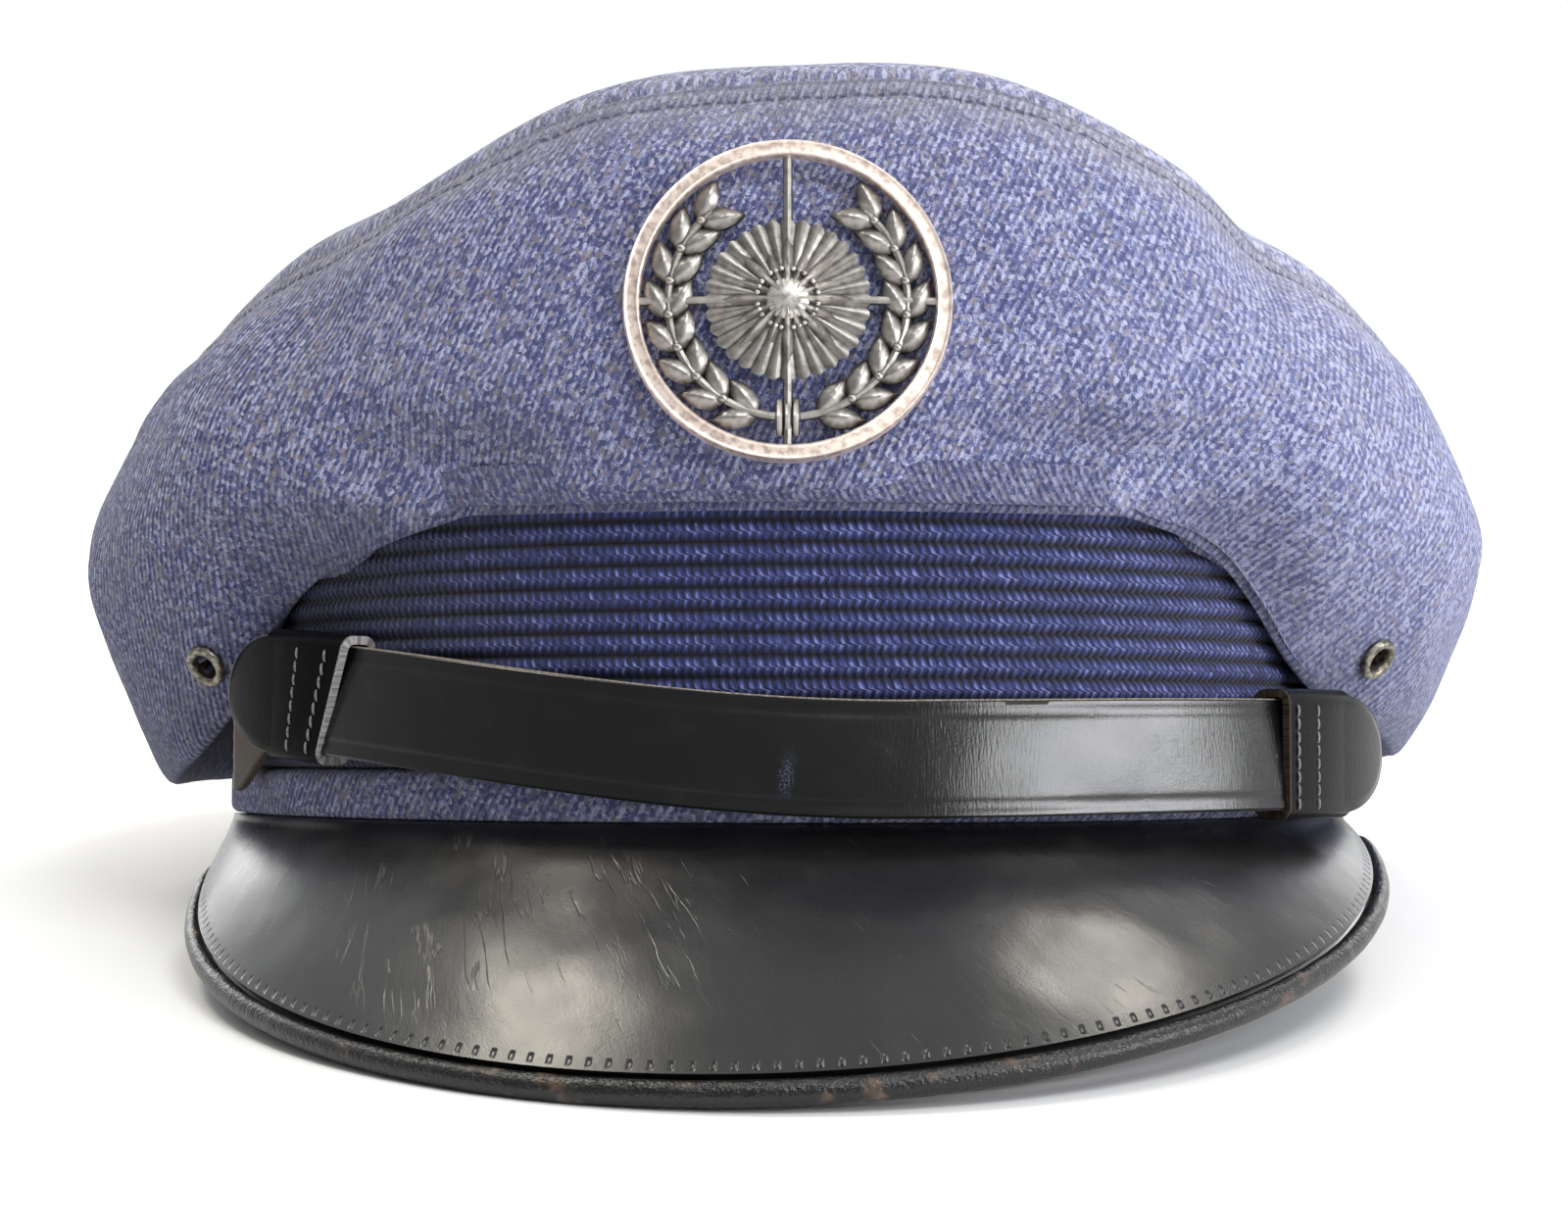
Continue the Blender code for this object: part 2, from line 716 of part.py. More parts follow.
def make_loop(name, side, look, collection, cutters, parent):
    """A sleeve of leather round both straps, whose outer face runs on into a round tab."""
    half = STRAP_WIDTH / 2.0 + GAP
    outer = STRAP_THICKNESS + GAP
    inner = -GAP - STRAP_THICKNESS - GAP
    bend = LOOP_ROUNDING
    corners = (
        (inner, -half + bend), (inner + bend, -half), (outer - bend, -half), (outer, -half + bend),
        (outer, half - bend), (outer - bend, half), (inner + bend, half), (inner, half - bend),
    )
    mouth, end = loop_angles(side)
    rows = []
    for angle in angles_between(mouth, end, 4):
        rows.append([strap_point(side * angle, up, out) for out, up in corners])
    sleeve = add_object(name, grid_mesh(name, rows, True), look, collection, parent)
    if side > 0:
        sleeve.data.flip_normals()
    add_solidify(sleeve, LOOP_LEATHER, 1.0)

    inset = LOOP_LEATHER * 0.15
    middle = end_angle(side) - strap_turn(tab_radius())

    def tab_half(angle):
        """Half height of the tab: straight to its middle, then a round end."""
        past = max(0.0, abs(angle) - middle) / strap_turn(tab_radius())
        return (tab_radius() - inset) * math.sqrt(max(0.03, 1.0 - past * past))

    angles = angles_between(end - strap_turn(LOOP_LENGTH * 0.4), middle, 3)[:-1]
    angles += [middle + strap_turn(tab_radius()) * math.sin(turn) for turn in angles_between(0.0, 1.5, 6)]
    tab = strap_solid(
        name + "_tab",
        [side * angle for angle in angles],
        lambda angle: -tab_half(angle),
        tab_half,
        lambda angle: outer + inset,
        lambda angle: outer + LOOP_LEATHER - inset,
        None, cutters, parent,
    )
    as_cutter(tab)
    add_boolean(sleeve, tab, "UNION")


def make_side_button(name, side, looks, holed, collection, cutters, parent):
    """A button whose stem holds the under strap's end to the band; the tab hides its head."""
    angle = side * (end_angle(side) - strap_turn(tab_radius()))
    ahead = strap_point(angle + 0.01, 0.0, 0.0) - strap_point(angle - 0.01, 0.0, 0.0)
    outward = ahead.normalized().cross(Vector((0.0, 0.0, 1.0))).normalized()
    face = strap_point(angle, 0.0, 0.0)
    inner = BRAID_FACE + STRAP_THICKNESS + 5.0 * GAP + stand_off(angle) + BUTTON_INSIDE
    seat = facing(face, outward)
    profile = (
        (0.0, BUTTON_HEAD),
        (BUTTON_RADIUS * 0.7, BUTTON_HEAD),
        (BUTTON_RADIUS, BUTTON_HEAD * 0.5),
        (BUTTON_RADIUS, 0.0),
        (PIN_RADIUS, 0.0),
        (PIN_RADIUS, BUTTON_INSIDE - inner),
        (PIN_RADIUS * 2.0, BUTTON_INSIDE - inner),
        (PIN_RADIUS * 2.0, -inner),
        (0.0, -inner),
    )
    button = add_object(name, turned(name, profile, closed=False), looks["silver"], collection, parent)
    button.matrix_local = seat
    add_screw(button, 16)
    weld = button.modifiers.new("weld", "WELD")
    weld.merge_threshold = 0.00001
    cutter = add_object(
        name + "_hole", cylinder_data(name + "_hole", PIN_RADIUS + GAP, inner * 1.9, 12), None, cutters, parent
    )
    cutter.matrix_local = seat @ Matrix.Translation((0.0, 0.0, -inner * 0.8))
    as_cutter(cutter)
    for thing in holed:
        add_boolean(thing, cutter, "DIFFERENCE")


# Badge

def badge_seat():
    """Matrix of the badge's middle on the crown's front, local +Z out of the cloth, +X to the right."""
    low, high = 0.0, 1.0
    for _ in range(40):
        share = (low + high) / 2.0
        if crown_point(0.0, share).z < BADGE_HEIGHT:
            low = share
        else:
            high = share
    point = crown_point(0.0, low)
    normal = crown_normal(0.0, low)
    right = Vector((1.0, 0.0, 0.0))
    upward = normal.cross(right)
    turn = Matrix((right, upward, normal)).transposed().to_4x4()
    return Matrix.Translation(point) @ turn


def leaf_mesh(mesh, centre, heading, length, width, rise):
    """A pointed leaf with a raised rib, whose back lies on the badge's back plane."""
    tip = Vector((math.cos(heading), math.sin(heading), 0.0))
    side = Vector((-tip.y, tip.x, 0.0))
    shape = ((0.5, 0.0), (0.12, 0.5), (-0.28, 0.36), (-0.5, 0.0), (-0.28, -0.36), (0.12, -0.5))
    outline = [centre + tip * length * along + side * width * across for along, across in shape]
    edge = Vector((0.0, 0.0, rise * 0.45))
    back = [mesh.verts.new(point) for point in outline]
    front = [mesh.verts.new(point + edge) for point in outline]
    ridge = mesh.verts.new(centre + Vector((0.0, 0.0, rise)))
    mesh.faces.new(back[::-1])
    for i in range(len(outline)):
        j = (i + 1) % len(outline)
        mesh.faces.new((back[i], back[j], front[j], front[i]))
        mesh.faces.new((front[i], front[j], ridge))


def star_mesh(mesh, radius, rays, rise):
    """A faceted star: long and short rays in turn, each with a ridge to the middle."""
    outline = []
    for i in range(4 * rays):
        turn = math.pi * i / (2.0 * rays) + math.pi / 2.0
        if i % 4 == 0:
            reach = radius
        elif i % 4 == 2:
            reach = radius * 0.80
        else:
            reach = radius * 0.52
        outline.append(Vector((reach * math.cos(turn), reach * math.sin(turn), 0.0)))
    edge = Vector((0.0, 0.0, rise * 0.35))
    back = [mesh.verts.new(point) for point in outline]
    front = [mesh.verts.new(point + edge) for point in outline]
    top = mesh.verts.new((0.0, 0.0, rise))
    mesh.faces.new(back[::-1])
    for i in range(len(outline)):
        j = (i + 1) % len(outline)
        mesh.faces.new((back[i], back[j], front[j], front[i]))
        mesh.faces.new((front[i], front[j], top))


def crown_bend():
    """How fast the crown's front curves back beside the badge, in metres of sag a square metre."""
    middle, height = badge_seat().translation, BADGE_HEIGHT
    angle = math.asin(BADGE_RADIUS / (HEAD_HALF_WIDTH + BRAID_FACE))
    sags = []
    for side in (-angle, angle):
        points = [crown_point(side, share / 60.0) for share in range(61)]
        nearest = min(points, key=lambda point: abs(point.z - height))
        sags.append((nearest.y - middle.y) / nearest.x ** 2)
    return min(sags)


def bent(point, bend):
    """The badge's middle upright stays on the cloth and its sides bend back with the crown."""
    return Vector((point.x, point.y, point.z + BADGE_LIFT - bend * point.x ** 2))


def bar_data(name, points, radius):
    """A round bar through the points, as a closed mesh."""
    curve = bpy.data.curves.new(name, "CURVE")
    curve.dimensions = "3D"
    curve.bevel_depth = radius
    curve.bevel_resolution = 1
    curve.use_fill_caps = True
    line = curve.splines.new("POLY")
    line.points.add(len(points) - 1)
    for target, point in zip(line.points, points):
        target.co = (*point, 1.0)
    holder = bpy.data.objects.new(name, curve)
    bpy.context.scene.collection.objects.link(holder)
    graph = bpy.context.evaluated_depsgraph_get()
    data = bpy.data.meshes.new_from_object(holder.evaluated_get(graph))
    bpy.data.objects.remove(holder)
    weld = bmesh.new()
    weld.from_mesh(data)
    bmesh.ops.remove_doubles(weld, verts=weld.verts, dist=0.000001)
    weld.to_mesh(data)
    weld.free()
    return data


def branch_line():
    """The right-hand branch's stem, from the foot of the ring round to beside the star."""
    points = []
    for i in range(11):
        turn = math.radians(-84.0 + 134.0 * i / 10)
        points.append(Vector((BRANCH_RADIUS * math.cos(turn), BRANCH_RADIUS * math.sin(turn), STEM_RADIUS)))
    return points


def make_badge(look, collection, cutters, parent):
    """One casting: a ring, a faceted star on two cross bars, two laurel branches and the post."""
    ring_inner = BADGE_RADIUS - BADGE_RING_WIDTH
    profile = (
        (ring_inner, 0.0),
        (ring_inner, BADGE_RING_DEPTH * 0.7),
        (ring_inner + BADGE_RING_WIDTH * 0.25, BADGE_RING_DEPTH),
        (BADGE_RADIUS - BADGE_RING_WIDTH * 0.25, BADGE_RING_DEPTH),
        (BADGE_RADIUS, BADGE_RING_DEPTH * 0.6),
        (BADGE_RADIUS, 0.0),
    )
    ring = add_object("badge", turned("badge", profile[::-1]), look, collection, parent)
    add_screw(ring, 40)

    parts = []
    star = bmesh.new()
    star_mesh(star, STAR_RADIUS, STAR_RAYS, BADGE_RELIEF)
    parts.append(finish_mesh("badge_star", star, outward=True))
    for turn in (0.0, 90.0):
        tip = Vector((math.cos(math.radians(turn)), math.sin(math.radians(turn)), 0.0))
        reach = BADGE_RADIUS - BADGE_RING_WIDTH * 0.5
        lift = Vector((0.0, 0.0, STEM_RADIUS * 1.1))
        parts.append(bar_data("badge_bar", [tip * -reach + lift, lift, tip * reach + lift], STEM_RADIUS))
    for side in (-1.0, 1.0):
        line = [Vector((side * p.x, p.y, p.z)) for p in branch_line()]
        parts.append(bar_data("badge_stem", line, STEM_RADIUS))
        for i in range(LEAVES_PER_BRANCH):
            turn = math.radians(-66.0 + 118.0 * i / (LEAVES_PER_BRANCH - 1))
            along = turn + math.pi / 2.0
            for lean, shift in ((0.50, -0.0016), (-0.50, 0.0016)):
                radius = BRANCH_RADIUS + shift
                centre = Vector((radius * math.cos(turn), radius * math.sin(turn), 0.0))
                heading = along + lean
                if side < 0:
                    centre.x = -centre.x
                    heading = math.pi - heading
                leaf = bmesh.new()
                leaf_mesh(leaf, centre, heading, LEAF_LENGTH, LEAF_WIDTH, BADGE_RELIEF * 0.8)
                parts.append(finish_mesh("badge_leaf", leaf, outward=True))
    post = cylinder_data("badge_post", POST_RADIUS, POST_LENGTH, 12)
    post.transform(Matrix.Translation((0.0, 0.0, STEM_RADIUS - POST_LENGTH / 2.0)))
    parts.append(post)

    for data in parts:
        piece = add_object(data.name, data, None, cutters, parent)
        as_cutter(piece)
        add_boolean(ring, piece, "UNION")
    graph = bpy.context.evaluated_depsgraph_get()
    cast = bpy.data.meshes.new_from_object(ring.evaluated_get(graph))
    bend = crown_bend()
    for vert in cast.vertices:
        vert.co = bent(vert.co, bend)
    ring.modifiers.clear()
    ring.data = cast
    ring.matrix_local = badge_seat()


# Rest pose

def lean_back():
    """Turn that brings the lip of the peak and the back of the rim into one level plane."""
    half = BEAD_DIAMETER / 2.0
    back_y = HEAD_HALF_LENGTH + BRAID_FACE - WELT_ROUNDING
    lean = 0.0
    for angle in peak_angles()[1:-1]:
        centre = bead_centre(angle)
        run = back_y - centre.y
        lean = max(lean, math.atan2(-centre.z, run) + math.asin(half / math.hypot(run, centre.z)))
    return Matrix.Rotation(-lean, 4, "X")


def rest_matrix(collection):
    """The lean, and the move that brings the middle of the cap's foot to the origin."""
    turn = lean_back()
    graph = bpy.context.evaluated_depsgraph_get()
    points = []
    for thing in collection.objects:
        if thing.type == "MESH":
            solid = thing.evaluated_get(graph)
            points += [turn @ solid.matrix_world @ vert.co for vert in solid.data.vertices]
    middle = [(min(p[axis] for p in points) + max(p[axis] for p in points)) / 2.0 for axis in (0, 1)]
    foot = min(point.z for point in points)
    return Matrix.Translation((-middle[0], -middle[1], -foot)) @ turn


def main():
    clear_scene()
    root = bpy.context.scene.collection
    cap = new_collection("service_cap", root)
    cutters = new_collection("cutters", root)
    holder = bpy.data.objects.new("cap_at_rest", None)
    cap.objects.link(holder)
    looks = {
        "serge": material("serge", SERGE_BLUE, 0.9),
        "braid": material("braid", BRAID_BLUE, 0.9),
        "leather": material("leather", BLACK_LEATHER, 0.3),
        "silver": material("silver", OLD_SILVER, 0.35, 0.9),
        "brass": material("brass", DULL_BRASS, 0.5, 0.6),
    }
    band = make_head_band(looks["serge"], cap, holder)
    braid = make_braid(looks["braid"], cap, holder)
    make_crown(looks, cap, cutters, holder)
    make_peak(looks, cap, holder)
    under = make_strap(looks, cutters, cap, holder)
    holed = (band, braid, under)
    make_side_button("side_button_left", -1.0, looks, holed, cap, cutters, holder)
    make_side_button("side_button_right", 1.0, looks, holed, cap, cutters, holder)
    make_badge(looks["silver"], cap, cutters, holder)
    holder.matrix_world = rest_matrix(cap)


main()
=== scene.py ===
import json
import math
import bpy
import numpy as np
from mathutils import Matrix, Vector, noise


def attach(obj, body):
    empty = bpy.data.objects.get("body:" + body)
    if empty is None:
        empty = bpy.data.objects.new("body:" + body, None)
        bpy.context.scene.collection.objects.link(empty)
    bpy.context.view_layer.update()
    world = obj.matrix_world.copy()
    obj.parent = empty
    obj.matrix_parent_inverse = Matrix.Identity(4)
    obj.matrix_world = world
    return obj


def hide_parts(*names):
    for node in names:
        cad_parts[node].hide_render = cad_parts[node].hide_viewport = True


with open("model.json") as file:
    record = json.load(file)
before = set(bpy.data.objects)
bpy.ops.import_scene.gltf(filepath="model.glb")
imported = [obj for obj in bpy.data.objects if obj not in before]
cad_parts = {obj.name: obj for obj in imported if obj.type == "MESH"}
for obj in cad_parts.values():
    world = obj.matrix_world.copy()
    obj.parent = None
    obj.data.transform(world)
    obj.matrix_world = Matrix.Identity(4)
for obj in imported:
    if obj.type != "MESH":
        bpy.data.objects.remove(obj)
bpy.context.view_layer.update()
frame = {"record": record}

turn = 2.0 * math.pi
upwardZ = Vector((0.0, 0.0, 1.0))


# the cap's own frame: rim in z = 0, front towards -y; the mount says how it lies on the floor
mount = next(m for m in frame["record"]["mounts"] if m["name"] == "head_opening")
upward = -Vector(mount["axis"])
rightward = Vector((1.0, 0.0, 0.0))
capAtRest = Matrix((rightward, upward.cross(rightward), upward)).transposed().to_4x4()
capAtRest.translation = Vector(mount["pos_m"])


# shaping helpers

def smoothStep(low, high, value):
    share = np.clip((value - low) / (high - low), 0.0, 1.0)
    return share * share * (3.0 - 2.0 * share)


def bell(value, width):
    return np.exp(-(value / width) ** 2)


def pick(piece):
    bpy.ops.object.select_all(action="DESELECT")
    piece.select_set(True)
    bpy.context.view_layer.objects.active = piece


def gridOrder(u, v, across, along):
    return np.lexsort((np.round(u * across), np.round(v * along))).reshape(along + 1, across + 1)


def addGrid(name, across, along):  # a flat grid with u and v from 0 to 1 at each point
    bpy.ops.object.select_all(action="DESELECT")
    bpy.ops.mesh.primitive_grid_add(x_subdivisions=across, y_subdivisions=along, size=1.0)
    piece = bpy.context.active_object
    piece.name = name
    piece.data.name = name
    place = getPoints(piece) + 0.5
    return piece, place[:, 0], place[:, 1]


def movePoints(piece, points):
    piece.data.vertices.foreach_set("co", np.ascontiguousarray(points).ravel())
    piece.data.update()


def getPoints(piece):
    flat = np.empty(len(piece.data.vertices) * 3)
    piece.data.vertices.foreach_get("co", flat)
    return flat.reshape(-1, 3)


def setUv(piece, across, up):  # the piece's own map, in metres
    mesh = piece.data
    corners = np.empty(len(mesh.loops), dtype=np.int64)
    mesh.loops.foreach_get("vertex_index", corners)
    flat = np.stack([across[corners], up[corners]], axis=-1)
    mesh.uv_layers[0].data.foreach_set("uv", flat.ravel())


def setMark(piece, name, values):
    mark = piece.data.attributes.new(name, "FLOAT", "POINT")
    mark.data.foreach_set("value", np.ascontiguousarray(values, dtype=np.float32))


def faceToward(piece, toward):  # turns an open piece over if it looks away from toward(centre)
    if sum(f.area * f.normal.dot(toward(f.center)) for f in piece.data.polygons) < 0.0:
        piece.data.flip_normals()


def weldPiece(piece, outward=True, reach=0.0000015):
    pick(piece)
    bpy.ops.object.mode_set(mode="EDIT")
    bpy.ops.mesh.select_all(action="SELECT")
    bpy.ops.mesh.remove_doubles(threshold=reach)
    bpy.ops.mesh.dissolve_degenerate(threshold=reach)
    if outward:
        bpy.ops.mesh.normals_make_consistent(inside=False)
    bpy.ops.object.mode_set(mode="OBJECT")


def applyModifier(piece, kind, **settings):
    pick(piece)
    step = piece.modifiers.new(kind.lower(), kind)
    for key, value in settings.items():
        setattr(step, key, value)
    bpy.ops.object.modifier_apply(modifier=step.name)


def joinPieces(name, pieces):
    bpy.ops.object.select_all(action="DESELECT")
    for piece in pieces:
        piece.select_set(True)
    bpy.context.view_layer.objects.active = pieces[0]
    bpy.ops.object.join()
    joined = bpy.context.active_object
    joined.name = name
    joined.data.name = name
    return joined


def finishPiece(piece, look, nodes, sharp=40.0):
    piece.data.transform(capAtRest)
    piece.data.materials.clear()
    piece.data.materials.append(look)
    pick(piece)
    bpy.ops.object.shade_smooth_by_angle(angle=math.radians(sharp))
    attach(piece, "root")
    if nodes:
        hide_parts(*nodes)
    print("piece", piece.name, sum(len(p.vertices) - 2 for p in piece.data.polygons), "triangles")


def arc(out, up, radius, first, last, count, tall=None):  # (out, up) points of a round corner
    turns = np.radians(np.linspace(first, last, count))
    return list(zip(out + radius * np.cos(turns), up + (tall or radius) * np.sin(turns)))


def runAlong(line):  # length from the first point to each point of a section
    return np.concatenate([[0.0], np.cumsum(np.hypot(*np.diff(line, axis=0).T))])


def softNoise(points, size, seed=0.0):  # smooth bumps of about one size, -1 to 1
    shift = Vector((seed * 7.3, seed * 3.1, seed * 5.7))
    return np.array([noise.noise(Vector(p) / size + shift) for p in points])


def catmull(points, place):  # points (n, k, 2); place counts spans from the first point
    spans = points.shape[1] - 1
    start = np.clip(place.astype(int), 0, spans - 1)
    t = (place - start)[:, None]
    rows = np.arange(len(place))
    p0 = points[rows, np.maximum(start - 1, 0)]
    p1 = points[rows, start]
    p2 = points[rows, start + 1]
    p3 = points[rows, np.minimum(start + 2, spans)]
    bend = 2.0 * p0 - 5.0 * p1 + 4.0 * p2 - p3
    twist = 3.0 * (p1 - p2) + p3 - p0
    return 0.5 * (2.0 * p1 + (p2 - p0) * t + bend * t * t + twist * t * t * t)


# shader helpers

class Wire:  # a socket that can be added, multiplied and so on
    def __init__(self, net, socket):
        self.net = net
        self.socket = socket

    def math(self, operation, *others):
        inputs = dict(enumerate((self, *others)))
        return self.net.node("ShaderNodeMath", {"operation": operation}, inputs)

    def __add__(self, other):
        return self.math("ADD", other)

    __radd__ = __add__

    def __mul__(self, other):
        return self.math("MULTIPLY", other)

    __rmul__ = __mul__

    def __sub__(self, other):
        return self.math("SUBTRACT", other)

    def __rsub__(self, other):
        return self * -1.0 + other

    def __truediv__(self, other):
        return self.math("DIVIDE", other)

    def wave(self):  # 0 to 1 to 0 over each whole number
        return (self * turn).math("COSINE") * -0.5 + 0.5

    def step(self, low, high):
        return self.net.node(
            "ShaderNodeMapRange",
            {"interpolation_type": "SMOOTHSTEP"},
            {"Value": self, "From Min": low, "From Max": high},
        )


class Net:  # one material's nodes
    def __init__(self, name):
        self.look = bpy.data.materials.new(name)
        self.look.use_nodes = True
        self.nodes = self.look.node_tree.nodes
        self.links = self.look.node_tree.links
        self.shader = self.nodes["Principled BSDF"]

    def node(self, kind, settings=None, inputs=None, out=0):
        made = self.nodes.new(kind)
        for key, value in (settings or {}).items():
            setattr(made, key, value)
        for key, value in (inputs or {}).items():
            self.feed(made.inputs[key], value)
        return Wire(self, made.outputs[out])

    def feed(self, socket, value):
        if isinstance(value, Wire):
            self.links.new(value.socket, socket)
        elif isinstance(value, (tuple, list)) and socket.type == "RGBA" and len(value) == 3:
            socket.default_value = (*value, 1.0)
        else:
            socket.default_value = value

    def map(self, size=1000.0):  # the piece's own map, in millimetres unless told otherwise
        place = self.node("ShaderNodeUVMap")
        return self.node("ShaderNodeVectorMath", {"operation": "SCALE"}, {0: place, "Scale": size})

    def room(self, size=1000.0):  # place on the object, in millimetres
        place = self.node("ShaderNodeTexCoord", out="Object")
        return self.node("ShaderNodeVectorMath", {"operation": "SCALE"}, {0: place, "Scale": size})

    def apart(self, vector):
        first = self.node("ShaderNodeSeparateXYZ", None, {0: vector})
        made = first.socket.node
        return [Wire(self, made.outputs[i]) for i in range(3)]

    def vector(self, x, y=0.0, z=0.0):
        return self.node("ShaderNodeCombineXYZ", None, {0: x, 1: y, 2: z})

    def cloud(self, vector, size, detail=2.0):  # soft noise, one bump each size
        inputs = {"Vector": vector, "Scale": 1.0 / size, "Detail": detail}
        return self.node("ShaderNodeTexNoise", None, inputs)

    def cells(self, vector, size, feature="F1", out=0):
        inputs = {"Vector": vector, "Scale": 1.0 / size}
        return self.node("ShaderNodeTexVoronoi", {"feature": feature}, inputs, out)

    def blend(self, share, first, second):
        return self.node("ShaderNodeMix", {"data_type": "RGBA"}, {0: share, 6: first, 7: second}, 2)

    def mark(self, name):
        return self.node("ShaderNodeAttribute", {"attribute_name": name}, None, "Fac")

    def bump(self, height, distance, strength=1.0):
        inputs = {"Height": height, "Distance": distance, "Strength": strength}
        return self.node("ShaderNodeBump", None, inputs, "Normal")

    def finish(self, **sockets):
        for name, value in sockets.items():
            self.feed(self.shader.inputs[name.replace("_", " ")], value)
        return self.look


# cloth of the crown and the welt

serge = {
    "lineSlope": 62.0,  # degrees of the twill lines
    "linePitch": 1.15,  # all lengths here are millimetres
    "floatLength": 1.7,
    "speck": 0.28,
    "deep": (0.030, 0.035, 0.130),
    "middle": (0.130, 0.145, 0.320),
    "pale": (0.47, 0.49, 0.66),
    "warm": (0.25, 0.21, 0.19),
    "stitchPitch": 2.1,
    "stitchBelow": 2.4,
}


def sergeLook(name, seam=False, slope=serge["lineSlope"], lighter=0.0, dusty=0.0):
    net = Net(name)
    place = net.map()
    x, y, _ = net.apart(place)
    lean = math.radians(slope)
    across = (x * math.sin(lean) - y * math.cos(lean)) / serge["linePitch"]
    run = (x * math.cos(lean) + y * math.sin(lean)) / serge["floatLength"]
    line = across.wave()
    stagger = (run + across.math("FLOOR") * 0.5).wave()
    weave = line * (stagger * 0.35 + 0.65)
    yarns = net.vector(across * 1.9, run * 2.6)
    cell = net.apart(net.cells(yarns, 1.0, out="Color"))
    speck = net.cloud(place, serge["speck"], 1.0)
    fuzz = net.cloud(place, 0.16, 2.0)
    patch = net.cloud(place, 16.0, 3.0)
    # fade lightens the cloth and turns it bluer towards the viewer's right: painted light from the right
    # side
    fade = net.mark("fade")
    paintedShade = net.mark("paintedShade")
    tone = cell[0] * 0.80 + speck * 1.05 + weave * 0.40 + patch * 0.10 + fade * 0.16 - 0.87 + lighter
    base = net.blend(tone.step(0.08, 0.44), serge["deep"], serge["middle"])
    base = net.blend(tone.step(0.36, 0.82), base, serge["pale"])
    base = net.blend(cell[1].step(0.72, 0.92) * 0.65, base, serge["warm"])
    base = net.blend(patch.step(0.45, 0.75) * (1.0 - fade) * 0.34, base, (0.120, 0.115, 0.145))
    base = net.blend(fade * 0.24, base, (0.24, 0.27, 0.50))
    # painted shade: the cloth is darkened towards deep navy where the shade mark is set
    base = net.blend(paintedShade * 0.55, base, (0.030, 0.032, 0.078))
    if dusty:
        base = net.blend(speck.step(0.25, 0.75) * dusty, base, (0.42, 0.41, 0.40))
    height = weave * 0.75 + cell[0] * 0.35 + fuzz * 0.5
    if seam:
        below = y * -1.0
        worn = below.step(11.0, 0.0) * speck.step(0.2, 0.7) * 0.75
        base = net.blend(worn, base, (0.33, 0.32, 0.33))
        dash = (x / serge["stitchPitch"]).wave().step(0.10, 0.60)
        row = 1.0 - (below - serge["stitchBelow"]).math("ABSOLUTE").step(0.05, 0.42)
        edge = 1.0 - (below - 0.1).math("ABSOLUTE").step(0.1, 0.7)
        base = net.blend(row * (dash * 0.55 + 0.10), base, (0.035, 0.036, 0.095))
        base = net.blend(edge * 0.50, base, (0.055, 0.055, 0.095))
        height = height - row * dash * 0.6
    return net.finish(
        Base_Color=base,
        Roughness=0.93,
        Normal=net.bump(height, 0.00048),
        Sheen_Weight=0.22,
        Sheen_Roughness=0.5,
        Specular_IOR_Level=0.25,
    )


# braid of the band

braid = {
    "ribs": 12,
    "groove": 0.0011,
    "crestPower": 0.7,  # below 1 makes the ribs plumper
    "stitches": 470,  # all the way round
    "relief": 0.00034,
    "slant": 0.85,  # how far a stitch leans over one rib, in stitches
    "wander": 0.00012,
    "wanderWidth": 0.05,
    "columns": 1410,
    "rowsPerRib": 4,
    "navy": (0.006, 0.008, 0.032),
    "mid": (0.026, 0.036, 0.150),
    "glint": (0.24, 0.27, 0.58),
}


def braidLook():
    net = Net("navy_braid")
    x, y, _ = net.apart(net.map(1.0))  # x counts stitches, y counts ribs
    rib = y.math("FRACT")
    upper = rib.step(0.40, 0.52)
    slanted = x + (upper * 2.0 - 1.0) * rib * braid["slant"]
    stitch = slanted.wave()
    strand = net.vector(slanted * 7.0, rib * 2.2, y.math("FLOOR") * 3.7)
    fibre = net.cloud(strand, 1.0, 3.0)
    odd = net.apart(net.cells(net.vector(slanted * 2.0, y * 2.0), 1.0, out="Color"))[0]
    crest = (rib * math.pi).math("SINE")
    # crest * 0.40 lightens the rib crests: painted light; the paler glints fall mostly there: painted
    # highlights
    tone = stitch * 0.30 + fibre * 0.62 + odd * 0.22 + crest * 0.40 - 0.72
    base = net.blend(tone.step(-0.10, 0.34), braid["navy"], braid["mid"])
    base = net.blend(tone.step(0.24, 0.62) * 0.9, base, braid["glint"])
    # the grooves between the ribs are darkened: painted shade
    dark = 1.0 - crest.step(0.10, 0.55)
    base = net.blend(dark * 0.85, base, (0.006, 0.007, 0.016))
    # darker towards the left end, under the crown's overhang: painted shade
    base = net.blend(net.mark("paintedShade") * 0.65, base, (0.004, 0.005, 0.012))
    height = stitch * 0.6 + fibre * 0.7
    return net.finish(
        Base_Color=base,
        Roughness=0.78,
        Normal=net.bump(height, 0.00040, 0.9),
        Sheen_Weight=0.15,
        Specular_IOR_Level=0.3,
    )


# leather of the peak, bead, straps and loops

leather = {
    "black": (0.0045, 0.0045, 0.0050),
    "scuffed": (0.060, 0.055, 0.050),
    "brown": (0.024, 0.017, 0.013),
    "crackSlope": 60.0,  # degrees from the way round the peak
    "crackColour": (0.20, 0.185, 0.155),
    "crackMiddle": (-42.0, -21.0),  # millimetres round the peak and back from the lip's stitches
    "tickPitch": 2.4,
    "tickInset": 1.2,
    "tickColour": (0.003, 0.003, 0.003),
}


